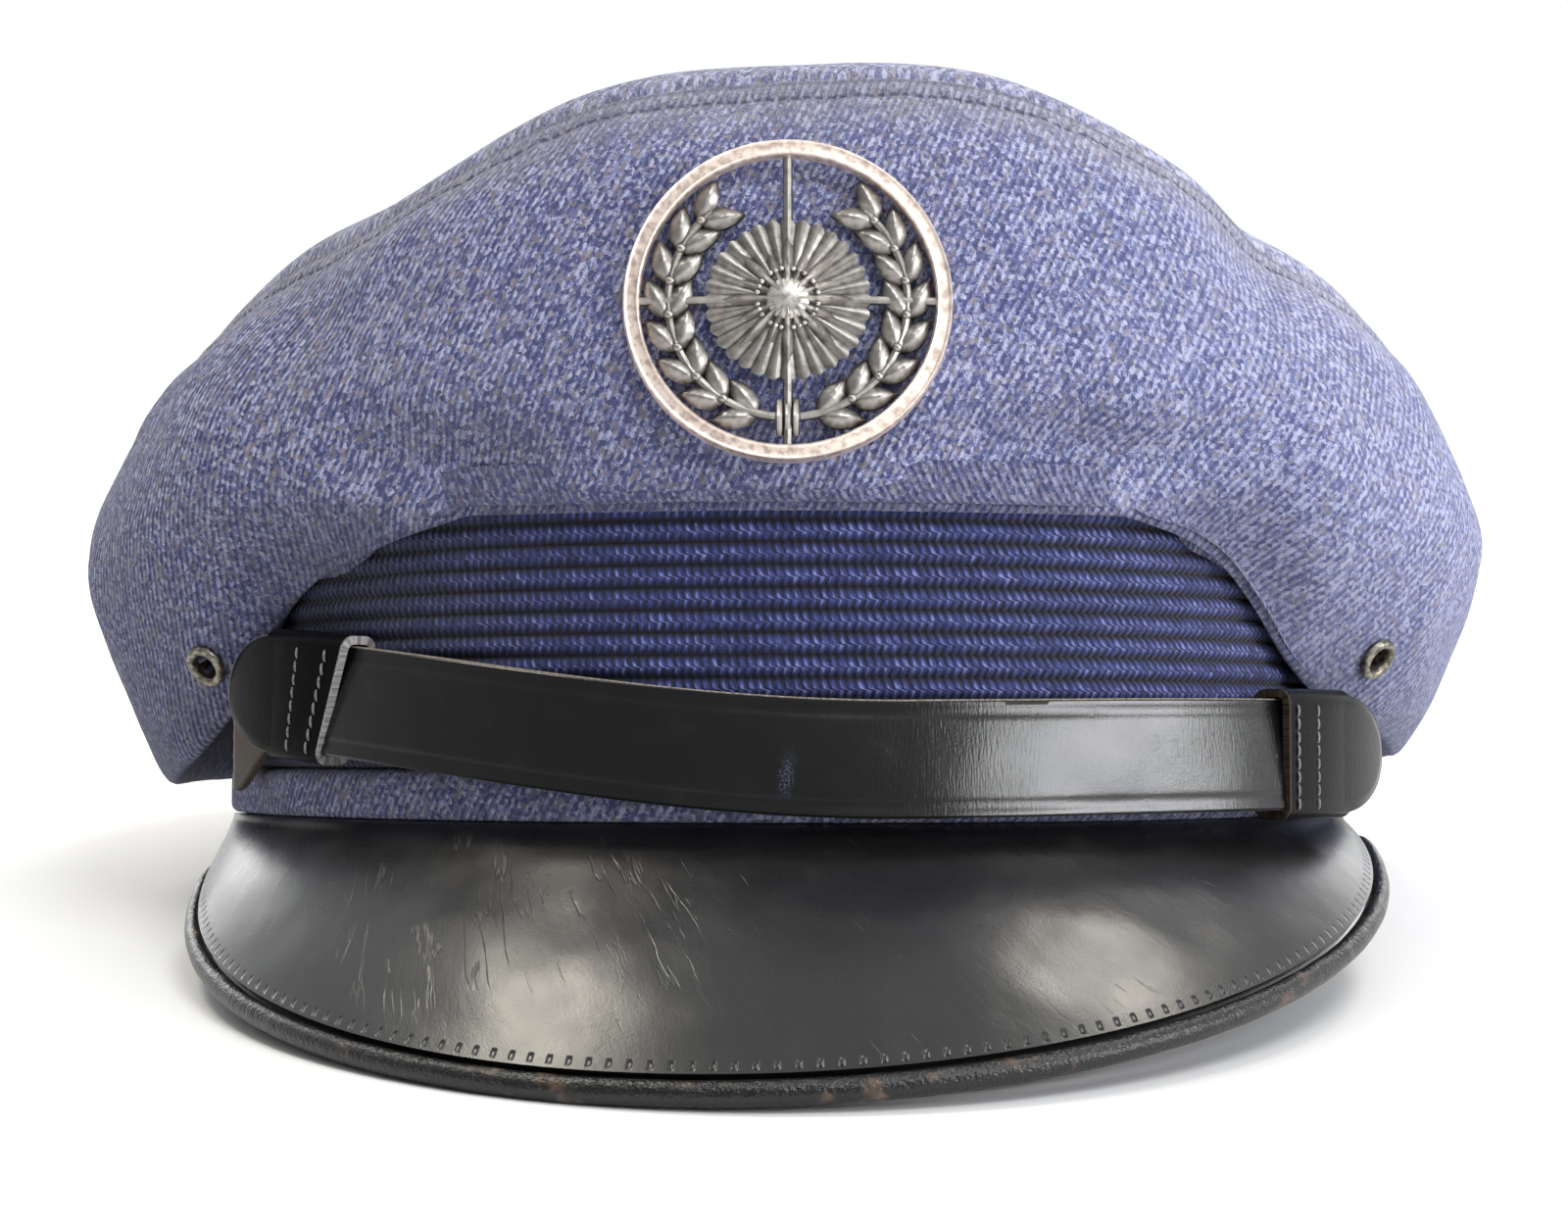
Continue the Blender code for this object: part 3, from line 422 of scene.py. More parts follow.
def peakLook():
    net = Net("cracked_peak_leather")
    place = net.map()
    x, y, _ = net.apart(place)
    lean = math.radians(leather["crackSlope"])
    along = x * math.cos(lean) + y * math.sin(lean)
    aside = y * math.cos(lean) - x * math.sin(lean)
    bent = net.cloud(place, 14.0, 2.0) * 9.0
    streak = net.cloud(net.vector(along * 0.14, aside + bent * 0.22), 3.4, 3.0)
    crack = 1.0 - (streak - 0.5).math("ABSOLUTE").step(0.002, 0.022)
    crack = crack * net.cloud(place, 22.0, 2.0).step(0.46, 0.60)
    worn = net.cloud(place, 9.0, 4.0)
    craze = net.cells(net.vector(along * 0.45, aside), 1.9, "DISTANCE_TO_EDGE").step(0.16, 0.0)
    craze = craze * worn.step(0.44, 0.62)
    grain = net.cloud(place, 0.35, 3.0)
    crumple = net.cloud(net.vector(along * 0.55, aside), 3.2, 4.0)
    ticks = (x / leather["tickPitch"]).wave().step(0.70, 1.0)
    ticks = ticks * (1.0 - (y + leather["tickInset"]).math("ABSOLUTE").step(0.15, 0.85))
    middleX, middleY = leather["crackMiddle"]
    zone = (x - middleX).math("ABSOLUTE").step(34.0, 12.0) * (y - middleY).math("ABSOLUTE").step(18.0, 8.0)
    crack = crack * (zone * 0.95 + 0.02)
    scratch = net.cloud(net.vector(along * 0.10, aside * 1.6), 1.2, 2.0).step(0.68, 0.74) * 0.5
    base = net.blend(worn.step(0.55, 0.85) * 0.12, leather["black"], leather["scuffed"])
    base = net.blend(crack * 0.5 + scratch * 0.10, base, leather["crackColour"])
    base = net.blend(ticks * 0.8, base, leather["tickColour"])
    height = crumple * 0.14 - crack * 0.6 - craze * 0.01 + grain * 0.05 - ticks * 0.5 - scratch * 0.10
    return net.finish(
        Base_Color=base,
        Roughness=0.22 + worn * 0.12 + crack * 0.25,
        Normal=net.bump(height, 0.00045, 0.6),
        Specular_IOR_Level=0.5,
    )


def beadLook():
    net = Net("worn_bead_leather")
    place = net.room()
    worn = net.cloud(place, 4.0, 4.0)
    grain = net.cloud(place, 0.5, 3.0)
    base = net.blend(worn.step(0.58, 0.72), leather["black"], (0.070, 0.046, 0.032))
    base = net.blend(worn.step(0.70, 0.80) * 0.7, base, (0.21, 0.165, 0.125))
    return net.finish(
        Base_Color=base,
        Roughness=worn * 0.20 + 0.20,
        Normal=net.bump(grain + worn * 2.0, 0.00022, 0.8),
        Specular_IOR_Level=0.45,
    )


def strapLook(name, raw, edgeShade, crackly=0.5, gloss=0.5, scuff=False):
    net = Net(name)
    place = net.map()
    x, y, _ = net.apart(place)
    grain = net.cloud(net.vector(x * 3.0, y * 0.45), 1.0, 3.0)
    pore = net.cloud(place, 0.28, 2.0)
    worn = net.cloud(place, 6.0, 4.0)
    fine = net.cells(net.vector(x, y * 0.6), 1.1, "DISTANCE_TO_EDGE").step(0.12, 0.0)
    fine = fine * worn.step(0.56, 0.72) * crackly * 0.5
    edge = net.mark("edge")
    flesh = net.mark("flesh")
    fuzz = net.cloud(place, 0.30, 3.0)
    base = net.blend(worn.step(0.56, 0.80) * 0.08, leather["black"], leather["scuffed"])
    fleshy = net.blend(fuzz.step(0.3, 0.7), leather["brown"], (0.075, 0.055, 0.040))
    base = net.blend(flesh, base, fleshy)
    tan = net.blend(fuzz.step(0.35, 0.65), edgeShade, raw)
    base = net.blend(edge.step(0.35, 0.75), base, tan)
    matt = edge.step(0.3, 0.8).math("MAXIMUM", flesh)
    height = grain * 0.30 + pore * 0.16 - fine * 0.5 + fuzz * matt * 1.1
    if scuff:  # the pale rub just left of the middle
        ragged = net.cloud(place, 1.6, 3.0) * 3.0
        spot = (x + 2.2 - y * 0.12 - ragged).math("ABSOLUTE").step(1.5, 0.0)
        spot = spot * (y - 6.5 + ragged).math("ABSOLUTE").step(4.0, 0.5)
        base = net.blend(spot * pore.step(0.46, 0.58) * 0.34, base, (0.13, 0.16, 0.24))
    return net.finish(
        Base_Color=base,
        Roughness=worn * 0.12 + 0.17 + matt * 0.5,
        Normal=net.bump(height, 0.00022, 0.5),
        Specular_IOR_Level=gloss,
    )


# metals and thread

metal = {
    "silver": (0.36, 0.34, 0.315),
    "bright": (0.68, 0.66, 0.62),
    "tarnish": (0.040, 0.036, 0.032),
    "rose": (0.94, 0.79, 0.70),
}


def castingLook():
    net = Net("tarnished_silver_casting")
    place = net.room()
    lift = net.mark("lift")
    ring = net.mark("ring")
    cloudy = net.cloud(place, 1.1, 4.0)
    fine = net.cloud(place, 0.22, 2.0)
    shade = (lift + cloudy * 0.55 - 0.34).step(0.08, 0.70)
    base = net.blend(shade, metal["tarnish"], metal["silver"])
    base = net.blend(lift.step(0.74, 1.0) * cloudy.step(0.35, 0.6), base, metal["bright"])
    rosy = net.blend(cloudy.step(0.30, 0.62), (0.56, 0.44, 0.38), metal["rose"])
    rosy = net.blend(fine.step(0.62, 0.72) * 0.5, rosy, metal["bright"])
    rosy = net.blend(lift.step(0.84, 0.91) * 0.7, rosy, (0.80, 0.74, 0.70))
    base = net.blend(ring, base, rosy)
    return net.finish(
        Base_Color=base,
        Metallic=0.92,
        Roughness=0.42 - shade * 0.12 + cloudy * 0.12 + ring * 0.10,
        Normal=net.bump(cloudy * 0.6 + fine * 0.4, 0.00010, 0.5),
    )


def smallMetalLook(name, shade, dark):
    net = Net(name)
    place = net.room()
    cloudy = net.cloud(place, 0.8, 3.0)
    base = net.blend(cloudy.step(0.35, 0.7), dark, shade)
    return net.finish(
        Base_Color=base,
        Metallic=0.9,
        Roughness=cloudy * 0.25 + 0.25,
        Normal=net.bump(cloudy, 0.00006, 0.4),
    )


def threadLook():
    net = Net("waxed_thread")
    place = net.room()
    ply = net.cloud(place, 0.18, 2.0)
    base = net.blend(ply.step(0.3, 0.7), (0.060, 0.060, 0.060), (0.24, 0.235, 0.23))
    return net.finish(Base_Color=base, Roughness=0.7, Normal=net.bump(ply, 0.00008, 0.6))


paleEdge = (0.40, 0.39, 0.38), (0.16, 0.15, 0.15)
darkEdge = (0.060, 0.045, 0.032), (0.018, 0.014, 0.011)
looks = {
    "side": sergeLook("blue_serge_side", seam=True),
    "top": sergeLook("blue_serge_top", slope=45.0, lighter=0.03, dusty=0.40),
    "welt": sergeLook("blue_serge_welt", slope=58.0),
    "braid": braidLook(),
    "peak": peakLook(),
    "bead": beadLook(),
    "strap": strapLook("strap_leather", (0.36, 0.30, 0.24), (0.10, 0.080, 0.065), scuff=True),
    "loopLeft": strapLook("loop_leather_pale_edge", *paleEdge, crackly=0.3, gloss=0.02),
    "loopRight": strapLook("loop_leather_dark_edge", *darkEdge, crackly=0.3, gloss=0.12),
    "casting": castingLook(),
    "eyelet": smallMetalLook("eyelet_metal", (0.34, 0.32, 0.27), (0.09, 0.08, 0.06)),
    "button": smallMetalLook("button_silver", (0.70, 0.69, 0.67), (0.22, 0.20, 0.18)),
    "thread": threadLook(),
}
print("materials", len(looks))


# band: the head opening's oval and the welt

band = {
    "halfWidth": 0.0865,
    "halfLength": 0.0965,
    "height": 0.0439,
    "wall": 0.0022,
    "weltHeight": 0.0072,
    "weltRoll": 0.0014,
    "lump": 0.00025,
    "lumpWidth": 0.016,
    "ripple": 0.00010,
    "rippleWidth": 0.006,
    "braidDepth": 0.0030,
    "gap": 0.0003,  # between pieces that lie on each other
    "mapRadius": 0.097,
    "columns": 320,
    "rows": 110,
}
braidBack = band["wall"] + band["gap"]
braidFace = braidBack + band["braidDepth"]


def oval(angle, out, height):
    return np.stack([
        (band["halfWidth"] + out) * np.sin(angle),
        -(band["halfLength"] + out) * np.cos(angle),
        height + 0.0 * angle,
    ], axis=-1)


def sweptSection(name, columns, section, rows):  # closed ring with a closed (out, height) section
    piece, u, v = addGrid(name, columns, rows)
    angle = (u - 0.5) * turn
    section = np.array(section + section[:1])
    run = runAlong(section)
    corners = np.round(run / run[-1] * rows)
    place = np.interp(np.round(v * rows), corners, run)
    out = np.interp(place, run, section[:, 0])
    height = np.interp(place, run, section[:, 1])
    return piece, angle, out, height, place


def makeBand():
    face, roll = braidFace, band["weltRoll"]
    section = [(0.0, 0.0), (face - roll, 0.0)]
    section += arc(face - roll, roll, roll, -75.0, -15.0, 5)
    section += [(face, roll), (face, band["weltHeight"] - roll)]
    section += arc(face - roll, band["weltHeight"] - roll, roll, 15.0, 75.0, 5)
    section += [
        (face - roll, band["weltHeight"]),
        (band["wall"], band["weltHeight"]),
        (band["wall"], band["height"]),
        (0.0, band["height"]),
    ]
    piece, angle, out, height, place = sweptSection("headBand", band["columns"], section, band["rows"])
    onWelt = smoothStep(0.004, 0.005, out) * smoothStep(0.0, 0.0012, height)
    flat = oval(angle, out, height)
    lumps = softNoise(flat, band["lumpWidth"], 3.0) * band["lump"]
    lumps += softNoise(flat, band["rippleWidth"], 5.0) * band["ripple"]
    movePoints(piece, oval(angle, out + lumps * onWelt, height))
    setUv(piece, angle * band["mapRadius"], place)
    # lighter towards the viewer's right: painted light from the right side
    setMark(piece, "fade", paintedRightLightAt(flat) * 0.6)
    # darker all along the welt and darkest at its top, under the braid: painted shade
    setMark(piece, "paintedShade", np.clip(0.35 + smoothStep(0.0055, 0.0072, height), 0.0, 1.0))
    weldPiece(piece)
    finishPiece(piece, looks["welt"], ["head_band"], 50.0)


# braid band with real ribs and stitches

def makeBraid():
    low = band["weltHeight"] + band["gap"]
    pitch = (band["height"] - low) / braid["ribs"]
    ribRows = braid["ribs"] * braid["rowsPerRib"]
    rows = ribRows + 3
    piece, u, v = addGrid("braidBand", braid["columns"], rows)
    angle = (u - 0.5) * turn
    row = np.round(v * rows)
    rib = np.clip((row - 1) / braid["rowsPerRib"], 0.0, braid["ribs"])
    height = low + pitch * rib
    within = rib - np.floor(rib)
    crest = np.sin(np.pi * within) ** braid["crestPower"]
    out = braidFace - braid["groove"] * (1.0 - crest)
    stitches = u * braid["stitches"]
    slanted = stitches + np.where(within > 0.45, 1.0, -1.0) * within * braid["slant"]
    loop = np.abs(np.sin(np.pi * slanted)) - 0.5
    out += loop * braid["relief"] * crest - braid["relief"] * 0.5
    back = (row < 1) | (row > ribRows + 1)
    out = np.where(back, braidBack, out)
    height = np.where(row == 0, low, np.where(row > ribRows + 1, band["height"], height))
    height = np.where(row == rows, low, height)
    points = oval(angle, out, height)
    points[:, 2] += softNoise(points, braid["wanderWidth"], 8.0) * braid["wander"] * ~back
    movePoints(piece, points)
    setUv(piece, stitches, rib)
    # darker from 10 to 48 degrees towards the viewer's left: painted shade under the crown's overhang
    setMark(piece, "paintedShade", smoothStep(math.radians(10.0), math.radians(48.0), -angle))
    weldPiece(piece)
    finishPiece(piece, looks["braid"], ["braid_band"], 75.0)


# crown: the soft side with its seam

crown = {
    "cloth": 0.0016,
    "rise": 0.0576,  # from the band's top to the seam at the front
    "overhang": 0.0240,
    "lipHighest": 0.965,  # the lip's highest place on the braid, as a share of the band
    "lip": ((0.0004, 0.0065), (0.0004, 0.0014), (0.0013, -0.0002)),  # out and up, hem first
    "foldLeast": 0.0026,
    "columns": 400,
    "rowsPerSpan": (2, 4, 14, 22, 16, 24, 3),
    "mapRadius": 0.105,
    "fellWidth": 0.0024,  # the sewn-down edge below the seam
    "fellRise": 0.00030,
    "stitchDip": 0.00042,
    "curlIn": 0.0009,
    "curlUp": 0.0006,
    "gather": 0.0013,  # soft gathers above the lip
    "gatherWidth": 0.0125,
    "pucker": 0.00042,  # small pulls below the seam
    "puckerWidth": 0.0065,
    "slack": 0.00085,
    "slackWidth": 0.021,
    "ripple": 0.00032,
    "rippleWidth": 0.010,
    "flatRoundEyelet": 0.0062,
    "eyeletSink": 0.0004,
    "dentScale": 1.8,
    "eyeletAngle": 60.5,
    "eyeletAlong": {-1: 0.545, 1: 0.56},
    "eyeletHole": 0.0026,
    # angle, leaves, fold out and up, bulge out and up, shoulder out and up, seam out and up
    "sections": (
        (-180.0, 0.66, 0.44, -0.554, 0.86, -0.09, 0.76, 0.15, 0.46, 0.27),
        (-150.0, 0.60, 0.46, -0.600, 0.90, -0.09, 0.80, 0.15, 0.50, 0.28),
        (-120.0, 0.54, 0.48, -0.650, 0.93, -0.09, 0.82, 0.17, 0.55, 0.29),
        (-90.0, 0.48, 0.46, -0.684, 0.96, -0.12, 0.78, 0.18, 0.47, 0.29),
        (-72.0, 0.46, 0.36, -0.630, 0.88, -0.10, 0.70, 0.24, 0.37, 0.39),
        (-61.0, 0.44, 0.22, -0.460, 0.75, -0.05, 0.63, 0.32, 0.28, 0.50),
        (-51.0, 0.72, 0.14, -0.180, 0.60, 0.04, 0.54, 0.41, 0.20, 0.61),
        (-40.0, 0.87, 0.10, -0.095, 0.43, 0.17, 0.35, 0.52, 0.04, 0.69),
        (-20.0, 1.01, 0.07, 0.060, 0.23, 0.31, 0.09, 0.70, -0.19, 0.93),
        (0.0, 1.01, 0.03, 0.080, 0.11, 0.32, -0.04, 0.74, -0.33, 1.00),
        (20.0, 1.01, 0.07, 0.060, 0.23, 0.31, 0.09, 0.73, -0.19, 0.985),
        (40.0, 0.87, 0.10, -0.090, 0.43, 0.17, 0.35, 0.55, 0.04, 0.79),
        (55.0, 0.48, 0.16, -0.400, 0.66, -0.02, 0.58, 0.40, 0.22, 0.62),
        (70.0, 0.46, 0.32, -0.540, 0.87, -0.08, 0.70, 0.27, 0.37, 0.48),
        (90.0, 0.48, 0.42, -0.610, 0.95, -0.10, 0.78, 0.20, 0.47, 0.36),
        (120.0, 0.54, 0.46, -0.620, 0.93, -0.09, 0.82, 0.18, 0.55, 0.31),
        (150.0, 0.60, 0.46, -0.590, 0.90, -0.09, 0.80, 0.15, 0.50, 0.28),
        (180.0, 0.66, 0.44, -0.554, 0.86, -0.09, 0.76, 0.15, 0.46, 0.27),
    ),
    # angle, up, spread in degrees, spread up, depth as a share of the overhang
    "dents": (
        (47.0, 0.62, 6.0, 0.10, 0.13),
        (-46.0, 0.50, 7.0, 0.09, 0.07),
        (-31.0, 0.10, 6.0, 0.07, 0.09),
        (-38.0, 0.02, 4.0, 0.08, -0.07),
        (28.0, 0.13, 9.0, 0.07, 0.08),
        (44.0, 0.14, 6.0, 0.12, -0.06),
        (-112.0, 0.02, 9.0, 0.14, 0.08),
        (118.0, -0.04, 8.0, 0.13, 0.07),
        (160.0, 0.06, 12.0, 0.12, 0.06),
    ),
}


def crownProfile(angle):  # (out, height) at the seven stations from hem to seam
    table = np.array(crown["sections"])
    last = len(table) - 1
    degrees = np.degrees(np.remainder(angle + math.pi, turn) - math.pi)
    at = np.clip(np.searchsorted(table[:, 0], degrees, side="right") - 1, 0, last - 1)
    before = np.where(at > 0, at - 1, last - 1)
    beyond = np.where(at + 2 <= last, at + 2, 1)
    span = table[at + 1, 0] - table[at, 0]
    spanBefore = np.where(at > 0, table[at, 0] - table[before, 0], span)
    spanBeyond = np.where(at + 2 <= last, table[beyond, 0] - table[at + 1, 0], span)
    t = ((degrees - table[at, 0]) / span)[:, None]
    here, after = table[at, 1:], table[at + 1, 1:]
    slopeHere = (after - table[before, 1:]) * (span / (span + spanBefore))[:, None]
    slopeAfter = (table[beyond, 1:] - here) * (span / (span + spanBeyond))[:, None]
    eased = (2 * t**3 - 3 * t**2 + 1) * here + (t**3 - 2 * t**2 + t) * slopeHere
    eased += (3 * t**2 - 2 * t**3) * after + (t**3 - t**2) * slopeAfter
    low = band["height"] * np.minimum(eased[:, 0], crown["lipHighest"])
    stations = np.zeros((len(angle), 7, 2))
    for k, (out, above) in enumerate(crown["lip"]):
        stations[:, k, 0] = braidFace + out
        stations[:, k, 1] = low + above
    stations[:, 3:, 0] = braidFace + crown["overhang"] * eased[:, 1::2]
    stations[:, 3:, 1] = band["height"] + crown["rise"] * eased[:, 2::2]
    stations[:, 3, 0] = np.maximum(stations[:, 3, 0], braidFace + crown["foldLeast"])
    return stations


def crownPoint(angle, share):
    stations = crownProfile(angle)
    along = np.clip(share, 0.0, 1.0) * 6.0
    both = catmull(stations, along)
    depth = np.zeros(len(angle))
    for centre, up, wide, tall, amount in crown["dents"]:
        aside = np.remainder(angle - math.radians(centre) + math.pi, turn) - math.pi
        aside = aside / math.radians(wide)
        above = (both[:, 1] - band["height"] - crown["rise"] * up) / (crown["rise"] * tall)
        depth += amount * np.exp(-0.5 * (aside * aside + above * above))
    depth *= crown["dentScale"] * crown["overhang"] * smoothStep(0.0, 1.0, along - 2.0)
    return oval(angle, both[:, 0] - depth, both[:, 1])


def unit(vectors):
    return vectors / np.maximum(np.linalg.norm(vectors, axis=-1, keepdims=True), 1e-12)


def crownNormal(angle, share):
    step = 0.01
    aside = crownPoint(angle + step, share) - crownPoint(angle - step, share)
    upAlong = crownPoint(angle, share) - crownPoint(angle, share - step)
    return unit(np.cross(aside, upAlong))


def one(value):
    return np.array([float(value)])


def seatOn(angle, share):  # matrix that carries local +z out of the cloth
    point = Vector(crownPoint(one(angle), one(share))[0])
    normal = Vector(crownNormal(one(angle), one(share))[0])
    return Matrix.Translation(point) @ normal.to_track_quat("Z", "Y").to_matrix().to_4x4()


def paintedRightLightAt(points):  # lighter from the middle to the viewer's right: painted light from the right side
    return np.clip(0.58 + points[:, 0] / 0.18 + softNoise(points, 0.045, 15.0) * 0.18, 0.0, 1.0)


def eyeletPlace(side):
    angle = math.radians(side * crown["eyeletAngle"])
    return crownPoint(one(angle), one(crown["eyeletAlong"][int(side)]))[0]


def makeCrownSide():
    rows = sum(crown["rowsPerSpan"])
    piece, u, v = addGrid("crownSide", crown["columns"], rows)
    angle = (u - 0.5) * turn
    marks = np.concatenate([[0.0], np.cumsum(crown["rowsPerSpan"])]) / rows
    along = np.interp(v, marks, np.arange(8.0))
    share = np.minimum(along / 6.0, 1.0)
    curl = np.clip(along - 6.0, 0.0, 1.0)
    points = crownPoint(angle, share)
    normals = crownNormal(angle, np.clip(share, 0.02, 0.995))
    order = gridOrder(u, v, crown["columns"], rows)
    steps = np.linalg.norm(np.diff(points[order], axis=0), axis=-1)
    run = np.concatenate([np.zeros((1, crown["columns"] + 1)), np.cumsum(steps, axis=0)])
    below = np.empty(len(u))
    below[order] = run[-1] - run
    ahead = angle * crown["mapRadius"]
    free = smoothStep(2.0, 3.2, along)
    fell = crown["fellRise"] * (1.0 - smoothStep(0.0016, 0.0026, below))
    dip = crown["stitchDip"] * bell(below - crown["fellWidth"], 0.0005)
    dip *= 0.65 + 0.35 * np.cos(turn * ahead * 1000.0 / serge["stitchPitch"])
    aboveLip = points[:, 2] - crownPoint(angle, 2.0 / 6.0 + 0 * angle)[:, 2]
    upright = np.stack([ahead, points[:, 2] * 0.4, 0 * ahead], axis=-1)
    gathers = softNoise(upright, crown["gatherWidth"], 21.0)
    gathers *= crown["gather"] * bell(aboveLip - 0.012, 0.012) * free
    hanging = np.stack([ahead, below * 0.3, 0 * ahead], axis=-1)
    pucker = softNoise(hanging, crown["puckerWidth"], 1.0)
    pucker *= crown["pucker"] * bell(below - 0.0045, 0.005) * free
    slack = softNoise(points, crown["slackWidth"], 2.0) * crown["slack"]
    slack += softNoise(points, crown["rippleWidth"], 4.0) * crown["ripple"]
    near = np.zeros(len(u))  # the cloth lies flat round the eyelets
    for side in (-1.0, 1.0):
        away = np.linalg.norm(points - eyeletPlace(side), axis=-1)
        near += bell(away, crown["flatRoundEyelet"])
    height = (fell - dip) * smoothStep(4.0, 5.0, along) + pucker + gathers * (1.0 - near)
    height += slack * free * smoothStep(0.0, 0.006, below) * (1.0 - near) - near * crown["eyeletSink"]
    height -= crown["curlIn"] * curl ** 1.5
    points = points + normals * height[:, None]
    lift = unit(crownPoint(angle, 1.0 + 0 * angle) - crownPoint(angle, 0.99 + 0 * angle))
    points = points + lift * (crown["curlUp"] * np.sin(curl * math.pi / 2.0))[:, None]
    movePoints(piece, points)
    setUv(piece, ahead, -below)
    # lighter towards the viewer's right: painted light from the right side
    setMark(piece, "fade", paintedRightLightAt(points))
    # painted shade: darker where the cloth faces down, on the far left side, and on the lip under the fold
    under = smoothStep(0.05, -0.75, normals[:, 2]) * smoothStep(4.2, 3.0, along)
    shadedLeft = 0.45 * smoothStep(-0.080, -0.112, points[:, 0])
    setMark(piece, "paintedShade", np.clip(under + shadedLeft + 0.8 * smoothStep(2.9, 2.2, along), 0.0, 1.0))
    weldPiece(piece, outward=False)
    cutEyeletHoles(piece)
    applyModifier(piece, "SOLIDIFY", thickness=crown["cloth"], offset=-1.0, use_even_offset=False)
    finishPiece(piece, looks["side"], ["crown_quarters"], 60.0)


def cutEyeletHoles(piece):
    pick(piece)
    bpy.ops.object.mode_set(mode="EDIT")
    bpy.ops.mesh.select_all(action="DESELECT")
    bpy.ops.object.mode_set(mode="OBJECT")
    for side in (-1.0, 1.0):
        eye = Vector(eyeletPlace(side))
        for face in piece.data.polygons:
            if (face.center - eye).length < crown["eyeletHole"]:
                face.select = True
    bpy.ops.object.mode_set(mode="EDIT")
    bpy.ops.mesh.select_mode(type="FACE")
    bpy.ops.mesh.delete(type="FACE")
    bpy.ops.object.mode_set(mode="OBJECT")


# crown: the top panel

top = {
    "centreRise": 0.0390,
    "puff": 0.0086,
    "columns": 300,
    "rings": 64,
    "setIn": 0.00045,
    "edgeRoll": 0.9,  # how far the edge rolls out at the seam, in cloths
    "wave": 0.0011,
    "waveWidth": 0.030,
    "ripple": 0.00035,
    "rippleWidth": 0.012,
}


def makeCrownTop():
    piece, u, v = addGrid("crownTop", top["columns"], top["rings"])
    angle = (u - 0.5) * turn
    reach = 1.0 - v ** 1.35
    edge = crownPoint(angle, 1.0 + 0 * angle)
    normal = crownNormal(angle, 0.99 + 0 * angle)
    edge = edge - normal * (top["setIn"] + crown["cloth"] * 0.5)
    ends = crownPoint(np.array([0.0, math.pi]), np.array([1.0, 1.0]))
    middle = ends.mean(axis=0)
    middle[2] = band["height"] + top["centreRise"]
    points = middle + (edge - middle) * reach[:, None]
    puff = top["puff"] * (0.85 + 0.15 * np.cos(angle)) * np.sin(math.pi * reach ** 6.0)
    points[:, 2] = middle[2] + (edge[:, 2] - middle[2]) * reach ** 2.0 + puff
    inside = 1.0 - reach
    roll = crown["cloth"] * top["edgeRoll"] * smoothStep(0.0, 0.03, inside) * bell(inside, 0.05)
    points = points + normal * roll[:, None]
    slack = softNoise(points, top["waveWidth"], 6.0) * top["wave"]
    slack += softNoise(points, top["rippleWidth"], 7.0) * top["ripple"]
    points[:, 2] += slack * smoothStep(0.0, 0.12, inside)
    movePoints(piece, points)
    setUv(piece, points[:, 0], points[:, 1])
    # lighter towards the viewer's right: painted light from the right side
    setMark(piece, "fade", paintedRightLightAt(points))
    setMark(piece, "paintedShade", 0.0 * u)
    weldPiece(piece, outward=False)
    faceToward(piece, lambda centre: upwardZ)
    applyModifier(piece, "SOLIDIFY", thickness=crown["cloth"], offset=-1.0, use_even_offset=False)
    finishPiece(piece, looks["top"], ["crown_top"], 60.0)


# eyelets

eyelet = {
    "radius": 0.0034,
    "hole": 0.0019,
    "metal": 0.0004,
    "lift": 0.0001,
    "flangeHeight": 0.0008,
    "backShare": 0.85,  # the washer behind the cloth, as a share of the flange
}


def latheGrid(name, profile, seat, columns=48):  # closed (radius, height) profile turned about local z
    rows = len(profile)
    piece, u, v = addGrid(name, columns, rows)
    ring = np.array(list(profile) + [profile[0]])
    at = np.round(v * rows).astype(int)
    around = u * turn
    local = np.stack([ring[at, 0] * np.cos(around), ring[at, 0] * np.sin(around), ring[at, 1]], axis=-1)
    movePoints(piece, local)
    setUv(piece, around * 0.003, ring[at, 1])
    weldPiece(piece)
    piece.data.transform(seat)
    return piece


def makeEyelets():
    for side, name in ((-1.0, "left"), (1.0, "right")):
        seat = seatOn(math.radians(side * crown["eyeletAngle"]), crown["eyeletAlong"][int(side)])
        barrel = eyelet["hole"] + eyelet["metal"]
        front = eyelet["lift"]
        back = -crown["cloth"] - eyelet["lift"]
        half = (eyelet["radius"] - eyelet["hole"]) / 2.0
        washer = eyelet["radius"] * eyelet["backShare"]
        profile = [(barrel, back), (barrel, front)]
        # the flange rolls over from its outer edge into the barrel
        rolled = front + eyelet["lift"]
        profile += arc(eyelet["hole"] + half, rolled, half, 0.0, 180.0, 9, eyelet["flangeHeight"])
        deepest = back - eyelet["metal"]
        profile += [(eyelet["hole"], deepest), (washer, deepest), (washer, back)]
        piece = latheGrid("eyelet" + name.title(), profile, seat)
        finishPiece(piece, looks["eyelet"], ["eyelet_" + name], 45.0)


# peak

peak = {
    "halfAngle": 74.0,
    "reach": 0.0390,
    "drop": 0.0316,
    "roll": 9.0,  # degrees by which the deepest point lies off the middle
    "blunt": 0.965,
    "crowning": 0.0022,
    "thickness": 0.0024,
    "tuck": 0.0030,  # how far the plate goes under the band
    "bead": 0.0034,
    "beadReach": 0.9375,  # share of the lip that the bead follows
    "beadLump": 0.035,
    "beadLumpWidth": 0.004,
    "beadColumns": 320,
    "slit": 0.0001,
    "wave": 0.00042,
    "waveWidth": 0.016,
    "ripple": 0.00006,
    "rippleWidth": 0.0055,
    "mapRadius": 0.118,
    "columns": 260,
    "rows": 56,
}


def peakShare(angle, roll=0.0):
    return np.maximum(0.0, np.cos((angle + roll) * 90.0 / peak["halfAngle"]))


def peakReach(angle):
    return peak["reach"] * peakShare(angle)


def peakDrop(angle):
    ends = peakShare(angle) ** 0.4
    return peak["drop"] * ends * peakShare(angle * 0.8, math.radians(peak["roll"])) ** 0.9


